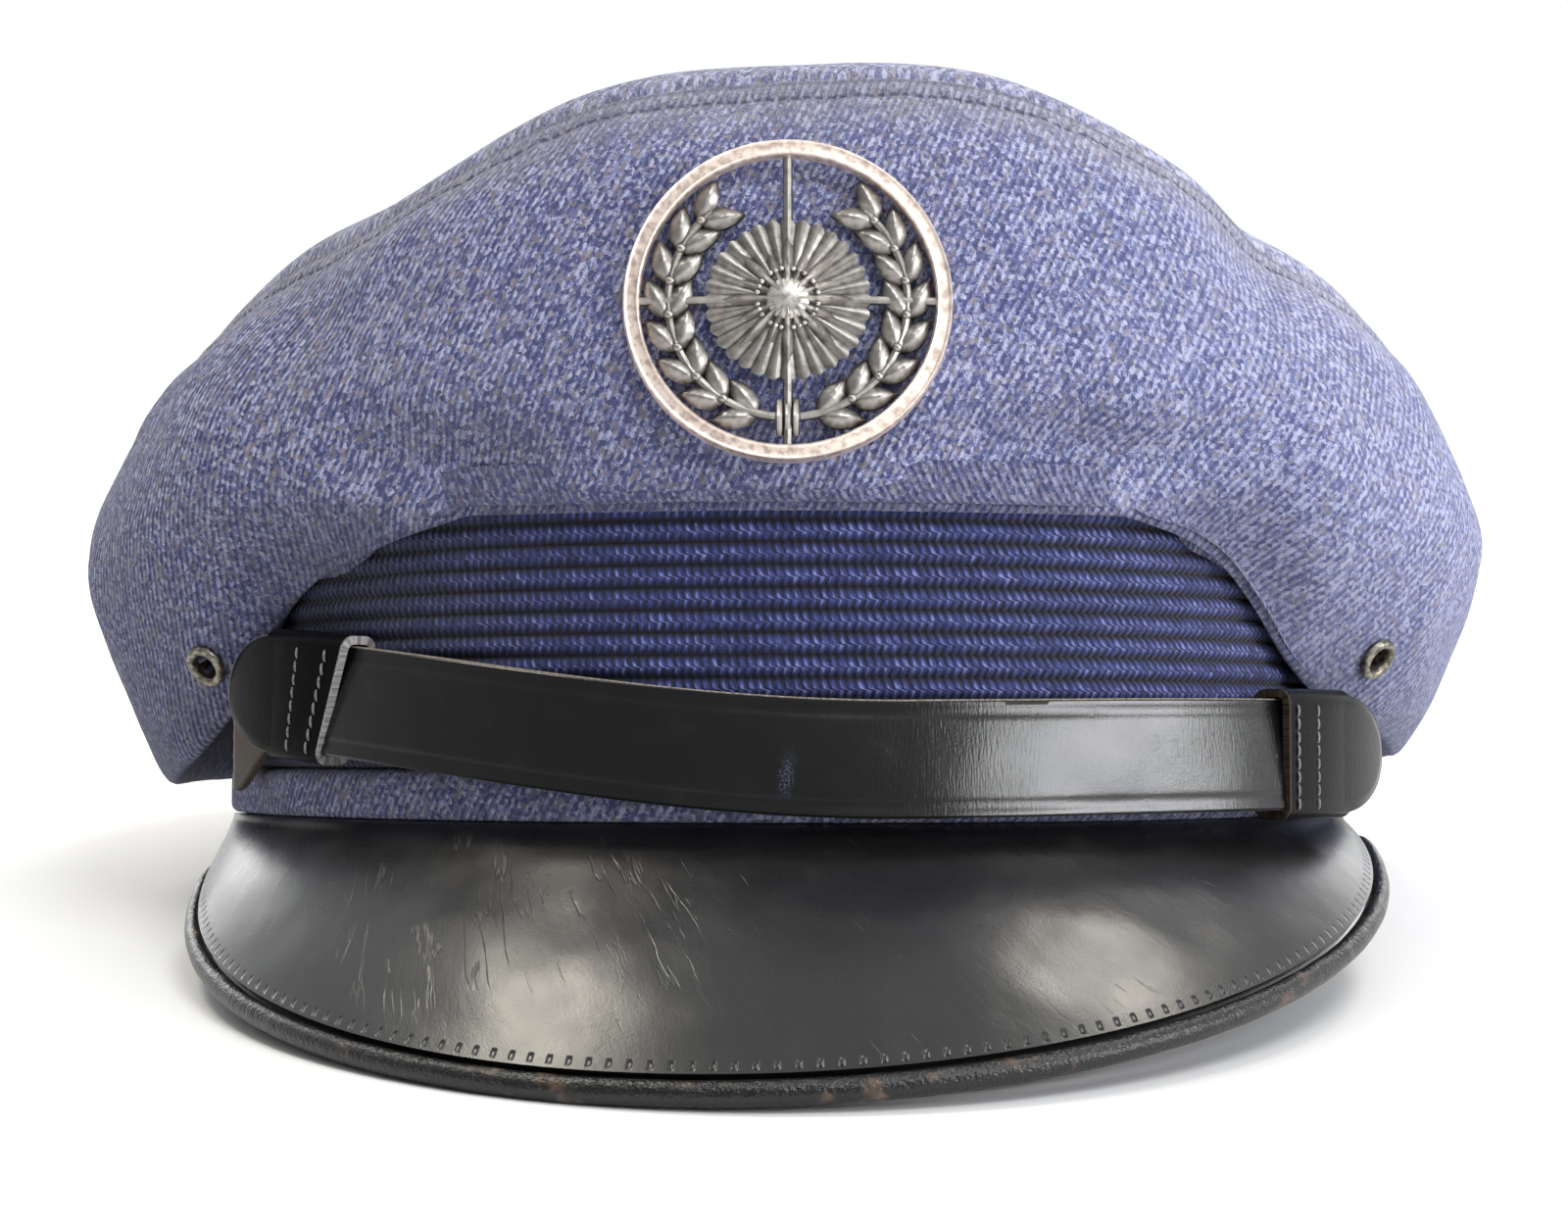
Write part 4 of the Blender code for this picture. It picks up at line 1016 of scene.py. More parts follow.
def peakPoint(angle, share):
    crowning = peak["crowning"] * peakShare(angle) * np.sin(math.pi * np.clip(share, 0.0, 1.0))
    out = braidFace + peakReach(angle) * np.maximum(share, 0.0) + peak["tuck"] * np.minimum(share, 0.0)
    height = crowning - peakDrop(angle) * np.maximum(share, 0.0)
    return oval(angle, out, height - band["gap"] * smoothStep(0.0, 0.08, share))


def peakHalf():
    return math.radians(peak["halfAngle"]) * peak["blunt"]


def lipFrame(angle):
    outward = unit(peakPoint(angle, 1.0 + 0 * angle) - peakPoint(angle, 0.9 + 0 * angle))
    along = unit(oval(angle + 0.01, braidFace, 0.0) - oval(angle - 0.01, braidFace, 0.0))
    return outward, -np.cross(along, outward)


def makePeak():
    piece, u, v = addGrid("peakPlate", peak["columns"], peak["rows"])
    angle = (u - 0.5) * 2.0 * peakHalf()
    length = peak["slit"] + np.hypot(peakReach(angle), peakDrop(angle))
    trim = np.minimum(0.7, (peak["bead"] + peak["slit"]) / length)
    tucked = 3.0 / peak["rows"]
    share = np.where(v < tucked, v / tucked - 1.0, (v - tucked) / (1.0 - tucked) * (1.0 - trim))
    points = peakPoint(angle, share)
    outward, up = lipFrame(angle)
    rippled = softNoise(points, peak["waveWidth"], 9.0) * peak["wave"]
    rippled += softNoise(points, peak["rippleWidth"], 10.0) * peak["ripple"]
    fade = smoothStep(0.0, 0.15, share) * (1.0 - smoothStep(0.8, 1.0, v)) * peakShare(angle)
    points = points + up * (rippled * fade)[:, None]
    movePoints(piece, points)
    fromLip = (1.0 - share) * length
    setUv(piece, angle * peak["mapRadius"], -fromLip + peak["bead"])
    weldPiece(piece, outward=False)
    faceToward(piece, lambda centre: upwardZ)
    thickness = peak["thickness"] * 0.98
    applyModifier(piece, "SOLIDIFY", thickness=thickness, offset=-1.0, use_even_offset=False)
    finishPiece(piece, looks["peak"], ["peak"], 50.0)


def makeBead():
    piece, u, v = addGrid("peakBead", peak["beadColumns"], 16)
    angle = (u - 0.5) * 2.0 * peakHalf() * peak["beadReach"]
    outward, up = lipFrame(angle)
    half = peak["bead"] / 2.0
    centre = peakPoint(angle, 1.0 + 0 * angle) - outward * half - up * peak["thickness"] / 2.0
    fat = half * np.sqrt(np.clip(1.0 - (np.abs(u - 0.5) * 2.0) ** 80.0, 0.0, 1.0))
    around = v * turn
    tube = outward * np.cos(around)[:, None] + up * np.sin(around)[:, None]
    fat = fat * (1.0 + peak["beadLump"] * softNoise(centre + tube * half, peak["beadLumpWidth"], 11.0))
    movePoints(piece, centre + tube * fat[:, None])
    setUv(piece, angle * peak["mapRadius"], around * half)
    weldPiece(piece)
    finishPiece(piece, looks["bead"], ["peak_bead"], 60.0)


# strap, its loops and buttons

strap = {
    "width": 0.0158,
    "thickness": 0.0015,
    "height": 0.0084,
    "climb": 0.0103,  # how much higher its left end is
    "climbFrom": -10.0,
    "climbTo": 60.0,
    "rightLift": 0.0010,
    "droop": 0.0085,
    "standLeft": 0.0015,  # how far the ends stand off the band
    "standRight": 0.0045,
    "standFrom": 25.0,
    "leftEnd": 57.5,
    "rightEnd": 62.0,
    "tailExtra": 4.0,
    "tailWidth": 0.0130,
    "loopLength": 0.0150,
    "loopLeather": 0.0012,
    "loopRound": 0.0009,
    "neck": 0.0030,
    "mouthShear": {-1: 0.0055, 1: 0.0},
    "buttonRadius": 0.0052,
    "buttonHead": 0.0012,
    "buttonInside": 0.0006,
    "pin": 0.0011,
    "tilt": 6.0,
    "softEdge": 0.00035,
    "tooled": 0.00022,  # depth of the line pressed along each edge
    "toolInset": 0.0019,
    "toolWidth": 0.00028,
    "crowned": 0.00010,
    "wave": 0.00030,
    "waveLowest": -0.0002,
    "waveWidth": 0.03,
    "ripple": 0.00008,
    "rippleWidth": 0.009,
    "wander": 0.00025,
    "wanderWidth": 0.05,
    "mapRadius": 0.095,
    "loopBulge": 0.00025,
    "tabStretch": 1.9,
    "tabProud": 0.00012,
    "tabRim": 0.00030,
    "tabShort": 0.0002,  # how far the tab stays inside its full size
    "tabStraight": 0.4,  # share of the tab before its round end
}


def strapHeight(angle):
    low, high = math.radians(strap["climbFrom"]), math.radians(strap["climbTo"])
    climb = smoothStep(low, high, -angle)
    return strap["height"] + strap["climb"] * climb + strap["rightLift"] * smoothStep(low, high, angle)


def endAngle(side):
    return math.radians(strap["leftEnd"] if side < 0 else strap["rightEnd"])


def standOff(angle):
    left = strap["standLeft"] * smoothStep(math.radians(strap["standFrom"]), endAngle(-1), -angle)
    right = strap["standRight"] * smoothStep(math.radians(strap["standFrom"]), endAngle(1), angle)
    return left + right


def strapPoint(angle, up, out):
    base = braidFace + 3.0 * band["gap"] + strap["thickness"]
    return oval(angle, base + standOff(angle) + out, strapHeight(angle) + up)


def strapTurn(length):
    return length / (band["halfWidth"] + braidFace + strap["thickness"] * 2.0)


def tabRadius():
    return strap["width"] / 2.0 + strap["loopLeather"]


def loopAngles(side):
    end = endAngle(side) - strapTurn(tabRadius() + strap["neck"])
    return end - strapTurn(strap["loopLength"]), end


def frontEnd(side):
    return endAngle(side) - strapTurn(tabRadius() + strap["buttonRadius"] + 2.0 * band["gap"])


def ribbonSection(half, inner, outer, rows, tooled=0.0, crowned=0.0):
    # closed (up, out, edge) section, up the front, over the top edge and down the back
    soft = strap["softEdge"]
    section = []
    for k in range(rows + 1):
        up = (half - soft) * (2.0 * k / rows - 1.0)
        line = min(abs(abs(up) - (half - strap["toolInset"])) / strap["toolWidth"], 3.0)
        out = outer + crowned * (1.0 - (up / half) ** 2) - tooled * math.exp(-line * line)
        section.append((up, out, 0.0))
    section.append((half, outer - soft * 0.8, 1.0))
    section.append((half, inner + soft * 0.8, 1.0))
    section.append((half - soft, inner, 0.0))
    section.append((0.0, inner, 0.0))
    section.append((-half + soft, inner, 0.0))
    section.append((-half, inner + soft * 0.8, 0.45))
    section.append((-half, outer - soft * 0.8, 0.45))
    return np.array(section + section[:1])


def makeRibbon(name, start, end, columns, section, upShift):
    rows = len(section) - 1
    piece, u, v = addGrid(name, columns + 4, rows)
    column = np.round(u * (columns + 4))  # two more columns at each end close the ribbon
    along = np.clip((column - 2.0) / columns, 0.0, 1.0)
    angle = start + (end - start) * along
    at = np.round(v * rows).astype(int)
    centreOut = section[:, 1].mean()
    shrink = np.interp(column, [0, 1, 2, columns + 2, columns + 3, columns + 4], [0, 0.7, 1, 1, 0.7, 0])
    up = section[at, 0] * (shrink > 0.5)
    out = centreOut + (section[at, 1] - centreOut) * shrink
    points = strapPoint(angle, up + upShift(angle), out)
    setUv(piece, angle * strap["mapRadius"], runAlong(section[:, :2])[at])
    return piece, angle, points, at


def makeStrapFront():
    half = strap["width"] / 2.0
    section = ribbonSection(half, 0.0, strap["thickness"], 22, strap["tooled"], strap["crowned"])
    piece, angle, points, at = makeRibbon(
        "strapFront", -frontEnd(-1), frontEnd(1), 320, section, lambda a: 0.0 * a
    )
    wavy = softNoise(points, strap["waveWidth"], 12.0) * strap["wave"]
    wavy += softNoise(points, strap["rippleWidth"], 13.0) * strap["ripple"]
    points[:, 2] += softNoise(points, strap["wanderWidth"], 14.0) * strap["wander"]
    outward = unit(points * np.array([1.0, 1.0, 0.0]))
    middle = smoothStep(0.0, 0.12, angle + frontEnd(-1)) * smoothStep(0.0, 0.12, frontEnd(1) - angle)
    tilt = -section[at, 0] * math.tan(math.radians(strap["tilt"])) * middle
    points = points + outward * (np.maximum(wavy, strap["waveLowest"]) + tilt)[:, None]
    movePoints(piece, points)
    setMark(piece, "edge", section[at, 2])
    setMark(piece, "flesh", 0.0 * angle)
    weldPiece(piece)
    finishPiece(piece, looks["strap"], ["strap_front"], 35.0)


def makeStrapUnder():
    extra = math.radians(strap["tailExtra"])
    start, end = -endAngle(-1) - extra, endAngle(1) - extra

    def droop(angle):
        return -strap["droop"] * smoothStep(loopAngles(-1)[1], endAngle(-1) + extra, -angle)

    half = strap["tailWidth"] / 2.0
    section = ribbonSection(half, -band["gap"] - strap["thickness"], -band["gap"], 10)
    piece, angle, points, at = makeRibbon("strapUnder", start, end, 240, section, droop)
    tail = smoothStep(loopAngles(-1)[1] + 0.02, loopAngles(-1)[1] + 0.05, -angle)
    tip = smoothStep(endAngle(-1) + extra - 0.012, endAngle(-1) + extra - 0.004, -angle)
    movePoints(piece, points)
    setMark(piece, "edge", np.maximum(section[at, 2] * 0.9, tip))
    setMark(piece, "flesh", tail)
    weldPiece(piece)
    finishPiece(piece, looks["strap"], ["strap_under"], 35.0)


def makeLoop(side, name):
    half = strap["width"] / 2.0 + band["gap"]
    outer = strap["thickness"] + band["gap"]
    inner = -strap["thickness"] - 2.0 * band["gap"]
    r = strap["loopRound"]
    low, high = inner + r, outer - r
    ring = arc(half - r, high, r, 90.0, 0.0, 6) + arc(half - r, low, r, 0.0, -90.0, 6)
    ring += arc(r - half, low, r, -90.0, -180.0, 6) + arc(r - half, high, r, -180.0, -270.0, 6)
    # more points along the flat front, from the last corner back to the first
    flat = [(-half + r + (2.0 * half - 2.0 * r) * k / 15.0, outer) for k in range(1, 15)]
    ring = np.array(ring + flat + ring[:1])
    rows, columns = len(ring) - 1, 26
    piece, u, v = addGrid("strapLoop" + name.title(), columns, rows)
    mouth, end = loopAngles(side)
    at = np.round(v * rows).astype(int)
    up, out = ring[at, 0], ring[at, 1]
    shear = strap["mouthShear"][int(side)]
    begin = mouth - strapTurn(shear) * up / half * 0.5
    bulge = strap["loopBulge"] * np.sin(math.pi * u) * (out > 0)
    angle = begin + (end - begin) * u
    points = strapPoint(side * angle, up, out + bulge)
    movePoints(piece, points)
    setUv(piece, side * angle * strap["mapRadius"], runAlong(ring)[at])
    setMark(piece, "edge", np.maximum(bell(u, 0.03), bell(1.0 - u, 0.02) * 0.5))
    setMark(piece, "flesh", 0.0 * u)
    weldPiece(piece, outward=False)
    middle = Vector(points.mean(axis=0))
    faceToward(piece, lambda centre: centre - middle)
    applyModifier(piece, "SOLIDIFY", thickness=strap["loopLeather"], offset=1.0, use_even_offset=True)
    piece = joinPieces("strapLoop" + name.title(), [piece, makeTab(side, name, outer, end)])
    finishPiece(piece, looks["loop" + name.title()], ["strap_loop_" + name], 35.0)


def loopLine(side, line, up):  # angle of a thread line, this far behind the slanted mouth
    slant = strapTurn(strap["mouthShear"][int(side)]) * up / strap["width"]
    slant = slant * (1.0 - line / strap["loopLength"])
    return loopAngles(side)[0] + strapTurn(line) - slant


def makeTab(side, name, outer, end):  # a round-ended plate, laid on the sleeve from its thread line on
    piece, u, v = addGrid("tab" + name, 48, 28)
    radius = tabRadius() - strap["tabShort"]
    stretch = radius * strap["tabStretch"]
    straight = strap["tabStraight"]
    reach = np.minimum(u / straight, 1.0)
    past = np.sin(np.clip((u - straight) / (1.0 - straight), 0.0, 1.0) * math.pi / 2.0)
    tall = radius * np.sqrt(np.clip(1.0 - past * past, 0.0, 1.0))
    up = (v * 2.0 - 1.0) * tall
    root = loopLine(side, thread["lines"][int(side)][1], up)
    middle = endAngle(side) - strapTurn(stretch)
    angle = root + (middle - root) * reach + strapTurn(stretch) * past
    fromRim = radius - np.hypot(up, past * radius)
    # it bends over the sleeve's round corners, and no more past the sleeve's end
    corner = strap["loopRound"] + strap["loopLeather"]
    flatHalf = strap["width"] / 2.0 + band["gap"] + strap["loopLeather"] - corner
    over = np.clip(np.abs(up) - flatHalf, 0.0, corner)
    onSleeve = 1.0 - smoothStep(end - strapTurn(0.002), end + strapTurn(0.003), angle)
    bend = (corner - np.sqrt(corner ** 2 - over ** 2)) * onSleeve
    rim = strap["tabRim"] * (1.0 - smoothStep(0.0, 0.0010, fromRim)) * (past > 0.0)
    out = outer + strap["loopLeather"] + strap["tabProud"] - bend - rim
    movePoints(piece, strapPoint(side * angle, up, out))
    setUv(piece, side * angle * strap["mapRadius"], up)
    setMark(piece, "edge", (1.0 - smoothStep(0.0001, 0.0004, fromRim)) * (past > 0.0) * 0.6)
    setMark(piece, "flesh", 0.0 * u)
    weldPiece(piece, outward=False)
    faceToward(piece, lambda centre: Vector((centre.x, centre.y, 0.0)))
    thickness = strap["loopLeather"] * 0.8
    applyModifier(piece, "SOLIDIFY", thickness=thickness, offset=-1.0, use_even_offset=False)
    return piece


thread = {
    "radius": 0.00019,
    "length": 0.0019,
    "pitch": 0.0019,
    "margin": 0.0008,
    "proud": 0.00030,
    "sink": 0.00018,  # how far a stitch's ends dip below its middle
    "lines": {-1: (0.0026, 0.0078), 1: (0.0016, 0.0060)},
}


def makeThreads():
    stitches = []
    outer = strap["thickness"] + band["gap"] + strap["loopLeather"] + thread["proud"]
    lowest = thread["margin"] - strap["width"] / 2.0
    places = np.arange(lowest, strap["width"] / 2.0 - 0.0002, thread["pitch"])
    rows = [(side, line, up) for side in (-1, 1) for line in thread["lines"][side] for up in places]
    for side, line, up in rows:
        piece, u, v = addGrid("stitch", 8, 8)
        ends = 2.0 * u - 1.0
        fat = thread["radius"] * np.sqrt(np.clip(1.0 - ends ** 4, 0.0, 1.0))
        aside = fat * np.cos(v * turn) / (band["halfWidth"] + 0.008)
        out = outer + fat * np.sin(v * turn) - thread["sink"] * ends ** 2
        movePoints(piece, strapPoint(
            side * loopLine(side, line, up) + aside, up + ends * thread["length"] / 2.0, out
        ))
        weldPiece(piece)
        stitches.append(piece)
    finishPiece(joinPieces("loopStitches", stitches), looks["thread"], [])


def makeButtons():
    for side, name in ((-1.0, "left"), (1.0, "right")):
        angle = side * (endAngle(side) - strapTurn(tabRadius()))
        ahead = strapPoint(one(angle + 0.01), 0.0, 0.0) - strapPoint(one(angle - 0.01), 0.0, 0.0)
        outward = Vector(ahead[0]).normalized().cross(upwardZ).normalized()
        face = Vector(strapPoint(one(angle), 0.0, 0.0)[0])
        stand = float(standOff(one(angle))[0])
        inner = braidFace + strap["thickness"] + 5.0 * band["gap"] + stand + strap["buttonInside"]
        seat = Matrix.Translation(face) @ outward.to_track_quat("Z", "Y").to_matrix().to_4x4()
        radius, head, pin = strap["buttonRadius"], strap["buttonHead"], strap["pin"]
        profile = [(0.0, head)]
        for k in range(1, 9):
            a = math.radians(90.0 * k / 8.0)
            profile.append((radius * math.sin(a) ** 0.8, head * 0.3 + head * 0.7 * math.cos(a)))
        profile += [(radius, 0.0), (pin, 0.0), (pin, strap["buttonInside"] - inner)]
        profile += [(pin * 2.0, strap["buttonInside"] - inner), (pin * 2.0, -inner), (0.0, -inner)]
        piece = latheGrid("sideButton" + name.title(), profile, seat, 40)
        finishPiece(piece, looks["button"], ["side_button_" + name], 40.0)


# badge: a plain star in laurel, one casting

badge = {
    "radius": 0.0221,
    "ringWidth": 0.0023,
    "ringDepth": 0.0020,
    "relief": 0.0022,
    "height": 0.0697,
    "lift": 0.0005,
    "post": 0.0014,
    "postLength": 0.0052,
    "postTop": 0.0012,
    "starRadius": 0.0104,
    "starShort": 0.80,  # the short rays' length, and the notches' below, as shares of the radius
    "starNotch": 0.52,
    "rays": 8,
    "discRadius": 0.0112,
    "discRays": 32,
    "leafLength": 0.0066,
    "leafWidth": 0.0030,
    "leaves": 8,
    "branchRadius": 0.0160,
    "leafLean": 0.50,
    "leafShift": 0.0016,
    "stem": 0.00065,
    "berryRadius": 0.00068,
    "bossRadius": 0.0041,
    "bossBeads": 32,
    "bossBeadRadius": 0.00036,
    "tie": ((-0.0184, 0.0006), (-0.0160, 0.0017), (-0.0138, 0.0006)),  # up and out, over the stems
    "tieRadius": 0.00045,
    "tieStep": 0.0011,
}


def badgeSeat():
    shares = np.linspace(0.0, 1.0, 4001)
    heights = crownPoint(0.0 * shares, shares)[:, 2]
    share = float(shares[np.argmax(heights >= badge["height"])])
    point = Vector(crownPoint(one(0.0), one(share))[0])
    normal = Vector(crownNormal(one(0.0), one(share))[0])
    side = Vector((1.0, 0.0, 0.0))
    seat = Matrix((side, normal.cross(side), normal)).transposed().to_4x4()
    return Matrix.Translation(point) @ seat


def crownBend():
    middle = badgeSeat().translation
    angle = math.asin(badge["radius"] / (band["halfWidth"] + braidFace))
    shares = np.linspace(0.0, 1.0, 61)
    sags = []
    for side in (-angle, angle):
        points = crownPoint(side + 0.0 * shares, shares)
        nearest = points[np.argmin(np.abs(points[:, 2] - badge["height"]))]
        sags.append((nearest[1] - middle.y) / nearest[0] ** 2)
    return min(sags)


def badgeStar():  # ridged rays, long and short in turn
    rays, notch = badge["rays"], badge["starNotch"]
    piece, u, v = addGrid("star", rays * 16, 16)
    around = u * turn + math.pi / 2.0
    part = np.mod(u * rays, 1.0)
    tips = np.interp(part, [0.0, 0.25, 0.5, 0.75, 1.0], [1.0, notch, badge["starShort"], notch, 1.0])
    ridge = np.interp(part, [0.0, 0.25, 0.5, 0.75, 1.0], [1.0, 0.0, 0.8, 0.0, 1.0])
    reach = np.interp(v, [0.0, 0.75, 0.85, 1.0], [0.0, 1.0, 1.0, 0.0])
    height = np.interp(v, [0.0, 0.75, 0.85, 1.0], [1.0, 0.34, 0.0, 0.0])
    height = height + ridge * 0.42 * np.sin(np.pi * np.clip(v / 0.75, 0.0, 1.0)) * (v < 0.76)
    flute = 0.05 * np.cos(turn * v * 12.0) * (v < 0.7) * (1.0 - ridge)
    r = badge["starRadius"] * reach * tips
    height = badge["relief"] * (height + flute)
    movePoints(piece, np.stack([r * np.cos(around), r * np.sin(around), height], axis=-1))
    weldPiece(piece)
    return piece


def badgeDisc():  # a scalloped plate of fine rays behind the star
    piece, u, v = addGrid("disc", badge["discRays"] * 4, 8)
    around = u * turn
    scallop = np.abs(np.cos(around * badge["discRays"] / 2.0))
    reach = np.interp(v, [0.0, 0.75, 0.8, 1.0], [0.0, 1.0, 1.0, 0.0])
    r = badge["discRadius"] * reach * (0.94 + 0.06 * scallop)
    height = np.interp(v, [0.0, 0.75, 0.8, 1.0], [0.55, 0.38, 0.0, 0.0]) * badge["relief"]
    height = height + 0.16 * badge["relief"] * scallop * (v < 0.76) * smoothStep(0.0, 0.5, v)
    movePoints(piece, np.stack([r * np.cos(around), r * np.sin(around), height], axis=-1))
    weldPiece(piece)
    return piece


def badgeLeaf(centre, heading, length, width, rise):
    piece, along, v = addGrid("leaf", 12, 10)
    half = 0.5 * width * np.sin(math.pi * along ** 0.85) ** 0.75
    front = v < 0.72
    side = np.interp(v, [0.0, 0.70, 0.72, 1.0], [-1.0, 1.0, 1.0, -1.0])
    arch = rise * (0.45 + 0.55 * (1.0 - np.abs(side)) ** 0.8)
    arch = arch * np.sin(math.pi * np.clip(along, 0.04, 0.96)) ** 0.5
    vein = 0.10 * rise * np.cos(turn * (along * 5.0 - np.abs(side) * 0.8)) * (1.0 - np.abs(side))
    height = np.where(front, arch + vein, 0.0)
    x, y = (along - 0.5) * length, side * half
    c, s = math.cos(heading), math.sin(heading)
    movePoints(piece, np.stack([centre[0] + x * c - y * s, centre[1] + x * s + y * c, height], axis=-1))
    weldPiece(piece)
    return piece


def badgeBar(name, points, radius):  # a round bar through the points, closed at both ends
    line = np.array(points)
    piece, u, v = addGrid(name, len(line) + 1, 8)
    at = np.clip(np.round(u * (len(line) + 1)).astype(int) - 1, 0, len(line) - 1)
    ends = (u < 0.5 / (len(line) + 1)) | (u > 1.0 - 0.5 / (len(line) + 1))
    ahead = unit(np.gradient(line, axis=0))
    side = unit(np.cross(ahead, np.array([0.0, 0.0, 1.0])))
    up = np.cross(side, ahead)
    around = v * turn
    fat = np.where(ends, 0.0, radius)[:, None]
    spots = line[at] + fat * (side[at] * np.cos(around)[:, None] + up[at] * np.sin(around)[:, None])
    movePoints(piece, spots)
    weldPiece(piece)
    return piece


def badgeBall(centre, radius, flat=1.0):
    bpy.ops.object.select_all(action="DESELECT")
    bpy.ops.mesh.primitive_ico_sphere_add(
        subdivisions=2, radius=radius, location=centre, scale=(1.0, 1.0, flat)
    )
    piece = bpy.context.active_object
    bpy.ops.object.transform_apply(location=True, rotation=True, scale=True)
    return piece


def badgeRing():
    inner, deep, wide = badge["radius"] - badge["ringWidth"], badge["ringDepth"], badge["ringWidth"]
    # shares of the width and of the depth, from the inner foot to the outer foot
    shares = (
        (0.0, 0.0), (0.0, 0.72), (0.06, 0.92), (0.14, 1.0), (0.22, 0.93), (0.32, 0.90), (0.5, 0.93),
        (0.70, 0.90), (0.80, 0.93), (0.88, 1.0), (0.95, 0.90), (1.0, 0.66), (1.0, 0.0),
    )
    profile = [(inner + wide * across, deep * up) for across, up in shares]
    return latheGrid("ring", profile, Matrix.Identity(4), 144)


def badgeBranch(side):  # one laurel branch, with paired leaves and a berry between the pairs
    stem, middle = badge["stem"], badge["branchRadius"]
    turns = np.radians(np.linspace(-84.0, 50.0, 40))
    line = np.stack([side * middle * np.cos(turns), middle * np.sin(turns), 0 * turns + stem], axis=-1)
    pieces = [badgeBar("stem", line, stem)]
    size = (badge["leafLength"], badge["leafWidth"], badge["relief"] * 0.8)
    for i in range(badge["leaves"]):
        a = math.radians(-66.0 + 118.0 * i / (badge["leaves"] - 1))
        for way in (-1.0, 1.0):
            radius = middle + way * badge["leafShift"]
            heading = a + math.pi / 2.0 - way * badge["leafLean"]
            heading = heading if side > 0 else math.pi - heading
            pieces.append(badgeLeaf((side * radius * math.cos(a), radius * math.sin(a)), heading, *size))
        if i < badge["leaves"] - 1:
            b = a + math.radians(8.4)
            berry = (side * middle * math.cos(b), middle * math.sin(b), stem * 1.6)
            pieces.append(badgeBall(berry, badge["berryRadius"]))
    return pieces


def makeBadge():
    ring = badgeRing()
    stem, boss = badge["stem"], badge["bossRadius"]
    pieces = [badgeStar(), badgeDisc()]
    shares = (badge["radius"] - badge["ringWidth"] * 0.5) * np.linspace(-1.0, 1.0, 21)
    for a in (0.0, math.pi / 2.0):
        line = np.stack([shares * math.cos(a), shares * math.sin(a), 0 * shares + stem * 1.1], axis=-1)
        pieces.append(badgeBar("bar", line, stem))
    for a in np.arange(badge["bossBeads"]) * turn / badge["bossBeads"]:
        bead = (boss * math.cos(a), boss * math.sin(a), badge["relief"] * 0.86)
        pieces.append(badgeBall(bead, badge["bossBeadRadius"]))
    pieces.append(badgeBall((0.0, 0.0, badge["relief"] * 0.80), boss * 0.72, 0.22))
    pieces += badgeBranch(-1.0) + badgeBranch(1.0)
    for k in (-1.0, 0.0, 1.0):  # the tie where the branches cross
        line = [(k * badge["tieStep"], up, out) for up, out in badge["tie"]]
        pieces.append(badgeBar("tie", line, badge["tieRadius"]))
    head, foot, pin = badge["postTop"], stem - badge["postLength"], badge["post"]
    post = [(0.0, head), (pin, head), (pin, foot), (0.0, foot)]
    pieces.append(latheGrid("post", post, Matrix.Identity(4), 16))
    emblem = joinPieces("badgeEmblem", pieces)
    setMark(emblem, "ring", np.zeros(len(emblem.data.vertices)))
    setMark(ring, "ring", np.ones(len(ring.data.vertices)))
    whole = joinPieces("badgeCasting", [ring, emblem])
    points = getPoints(whole)
    setMark(whole, "lift", np.clip(points[:, 2] / badge["relief"], 0.0, 1.0))
    points[:, 2] += badge["lift"] - crownBend() * points[:, 0] ** 2
    movePoints(whole, points)
    whole.data.transform(badgeSeat())
    finishPiece(whole, looks["casting"], ["badge"], 38.0)


# the pieces

makeBand()
makeBraid()
print("band done")
makeCrownSide()
makeCrownTop()
makeEyelets()
print("crown done")
makePeak()
makeBead()
print("peak done")
makeStrapFront()
makeStrapUnder()
makeLoop(-1.0, "left")
makeLoop(1.0, "right")
makeThreads()
makeButtons()
print("straps done")
makeBadge()
print("badge done")


# floor, light and camera

studio = {
    "floorRadius": 14.0,
    "paper": (0.80, 0.80, 0.80),
    "paperGlow": 0.38,
    "sky": (0.96, 0.98, 1.0),
    "skyToward": (0.34, 0.82, 0.46),
    "skyBehind": 1.05,  # strength toward that direction
    "skyInFront": 0.26,
    "skyFall": (-0.7, 0.5),
    "lampsLookAt": (0.0, 0.0, 0.06),
    # name, place, size, radiance, colour
    "lamps": (
        ("strapSheen", (1.07, -0.63, 0.35), (0.90, 0.28), 14.0, (0.97, 0.98, 1.0)),
        ("peakLeft", (-0.52, 0.13, 1.08), (0.26, 0.26), 22.0, (1.0, 0.94, 0.80)),
        ("peakLeftHigh", (-0.34, 0.43, 1.05), (0.15, 0.15), 14.0, (1.0, 0.94, 0.80)),
        ("peakRight", (0.53, 0.30, 1.02), (0.22, 0.22), 17.0, (1.0, 0.95, 0.84)),
        ("peakRightHigh", (0.40, 0.63, 0.90), (0.13, 0.13), 9.0, (1.0, 0.95, 0.84)),
        ("backLeft", (-0.95, 1.60, 0.55), (0.60, 0.60), 4.0, (1.0, 1.0, 1.0)),
        ("backRight", (1.05, 1.60, 0.55), (0.60, 0.60), 2.0, (1.0, 1.0, 1.0)),
        ("frontFill", (0.45, -0.95, 1.35), (0.65, 0.55), 10.0, (1.0, 1.0, 1.0)),
    ),
}


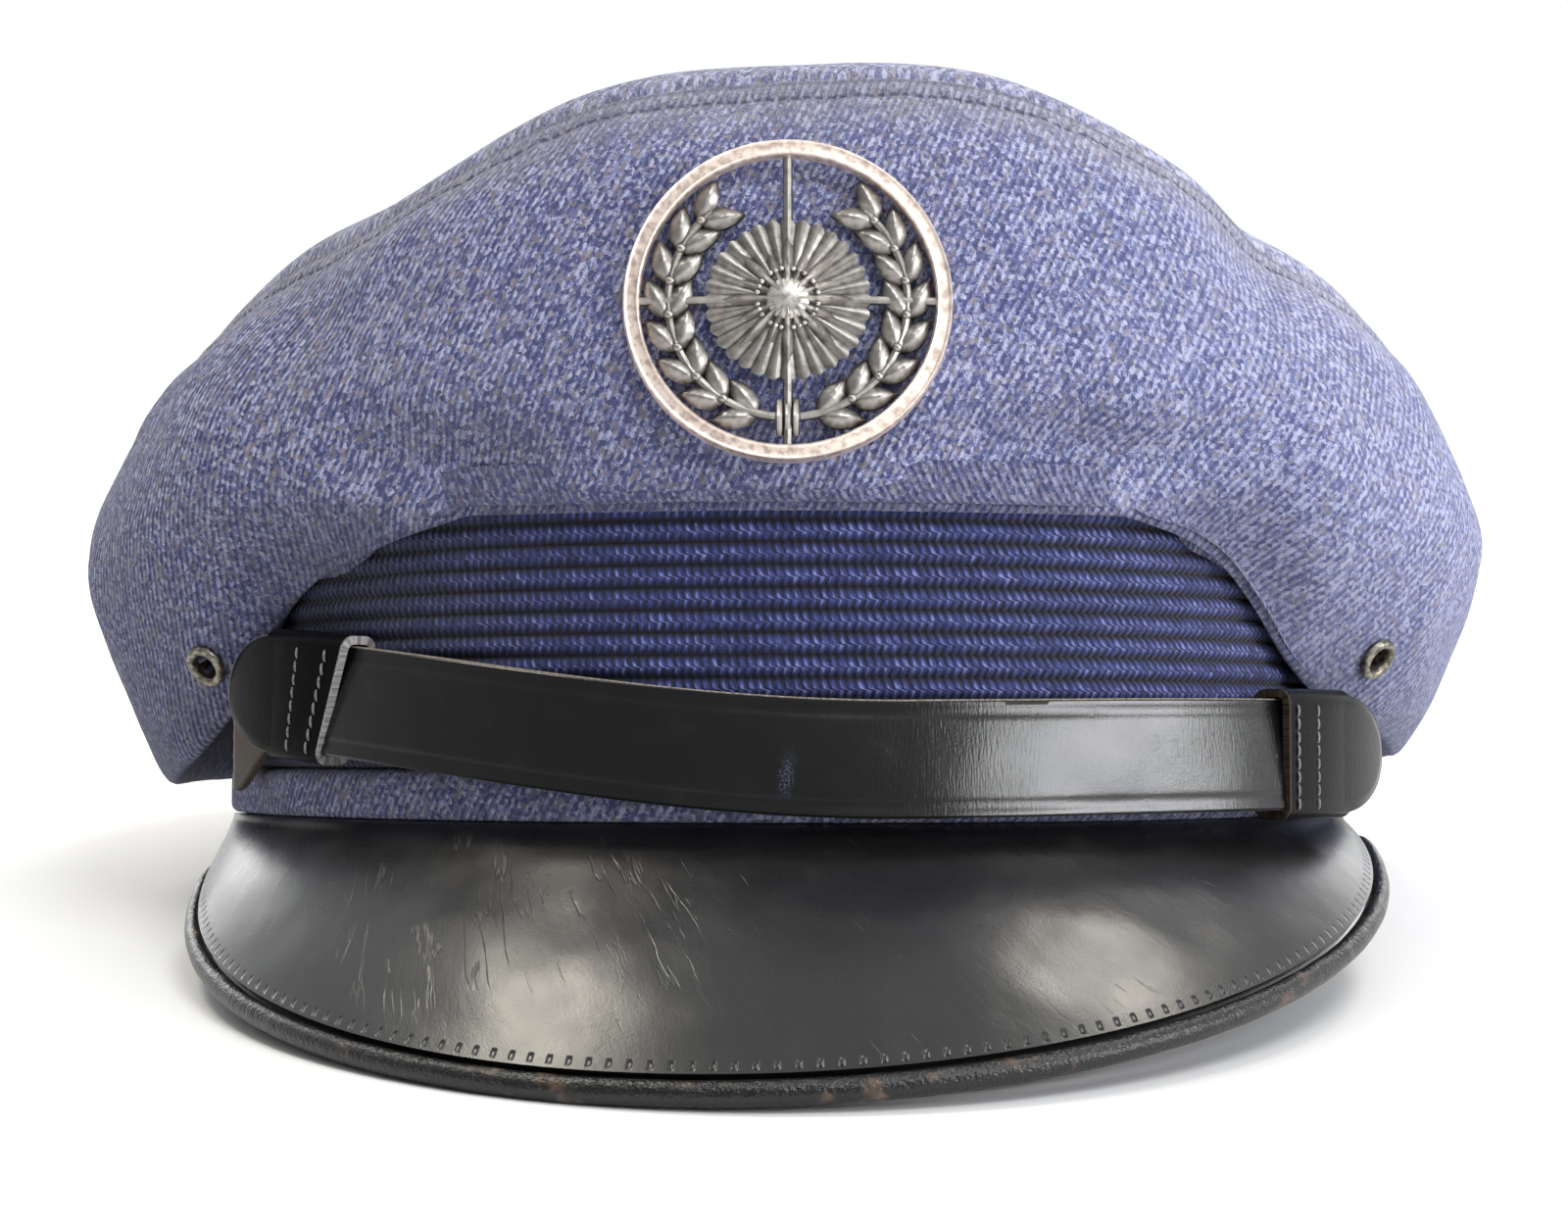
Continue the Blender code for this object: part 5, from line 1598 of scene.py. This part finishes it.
def makeStudio():
    piece, u, v = addGrid("paperFloor", 64, 8)
    around, r = u * turn, v * studio["floorRadius"]
    movePoints(piece, np.stack([r * np.cos(around), r * np.sin(around), 0.0 * r], axis=-1))
    weldPiece(piece, outward=False)
    net = Net("pale_paper")
    behind = net.apart(net.room(1.0))[1].step(0.15, 0.9)  # only the paper behind the cap glows
    piece.data.materials.append(net.finish(
        Base_Color=studio["paper"],
        Roughness=0.95,
        Specular_IOR_Level=0.1,
        Emission_Color=net.blend(behind, (0.0, 0.0, 0.0), (1.0, 1.0, 1.0)),
        Emission_Strength=studio["paperGlow"],
    ))
    world = bpy.data.worlds.new("studio")
    bpy.context.scene.world = world
    world.use_nodes = True
    nodes, links = world.node_tree.nodes, world.node_tree.links
    toward = nodes.new("ShaderNodeVectorMath")
    toward.operation = "DOT_PRODUCT"
    toward.inputs[1].default_value = studio["skyToward"]
    links.new(nodes.new("ShaderNodeTexCoord").outputs["Generated"], toward.inputs[0])
    fall = nodes.new("ShaderNodeMapRange")
    fall.interpolation_type = "SMOOTHSTEP"
    fall.inputs["From Min"].default_value, fall.inputs["From Max"].default_value = studio["skyFall"]
    fall.inputs["To Min"].default_value = studio["skyInFront"]
    fall.inputs["To Max"].default_value = studio["skyBehind"]
    links.new(toward.outputs["Value"], fall.inputs["Value"])
    sky = nodes["Background"]
    sky.inputs["Color"].default_value = (*studio["sky"], 1.0)
    links.new(fall.outputs[0], sky.inputs["Strength"])
    for name, place, size, radiance, colour in studio["lamps"]:
        lamp = bpy.data.lights.new(name, "AREA")
        lamp.shape = "RECTANGLE"
        lamp.size, lamp.size_y = size
        lamp.energy = radiance * math.pi * size[0] * size[1]
        lamp.color = colour
        holder = bpy.data.objects.new(name, lamp)
        bpy.context.scene.collection.objects.link(holder)
        holder.visible_camera = False
        aim = Vector(studio["lampsLookAt"]) - Vector(place)
        holder.matrix_world = Matrix.Translation(place) @ aim.to_track_quat("-Z", "Y").to_matrix().to_4x4()


# in the cap's own frame
cameraSetup = {"place": (-0.0005, -0.480, 0.010), "tilt": 92.7, "lens": 64.94, "sensor": 36.0}


def makeCamera():
    lens = bpy.data.cameras.new("photoCamera")
    lens.lens = cameraSetup["lens"]
    lens.sensor_width = cameraSetup["sensor"]
    lens.sensor_fit = "HORIZONTAL"
    lens.clip_start = 0.01
    holder = bpy.data.objects.new("photoCamera", lens)
    bpy.context.scene.collection.objects.link(holder)
    place = Matrix.Translation(cameraSetup["place"])
    tilt = Matrix.Rotation(math.radians(cameraSetup["tilt"]), 4, "X")
    holder.matrix_world = capAtRest @ place @ tilt
    bpy.context.scene.camera = holder


makeStudio()
makeCamera()
bpy.context.scene.view_settings.view_transform = "Standard"
print("studio done")
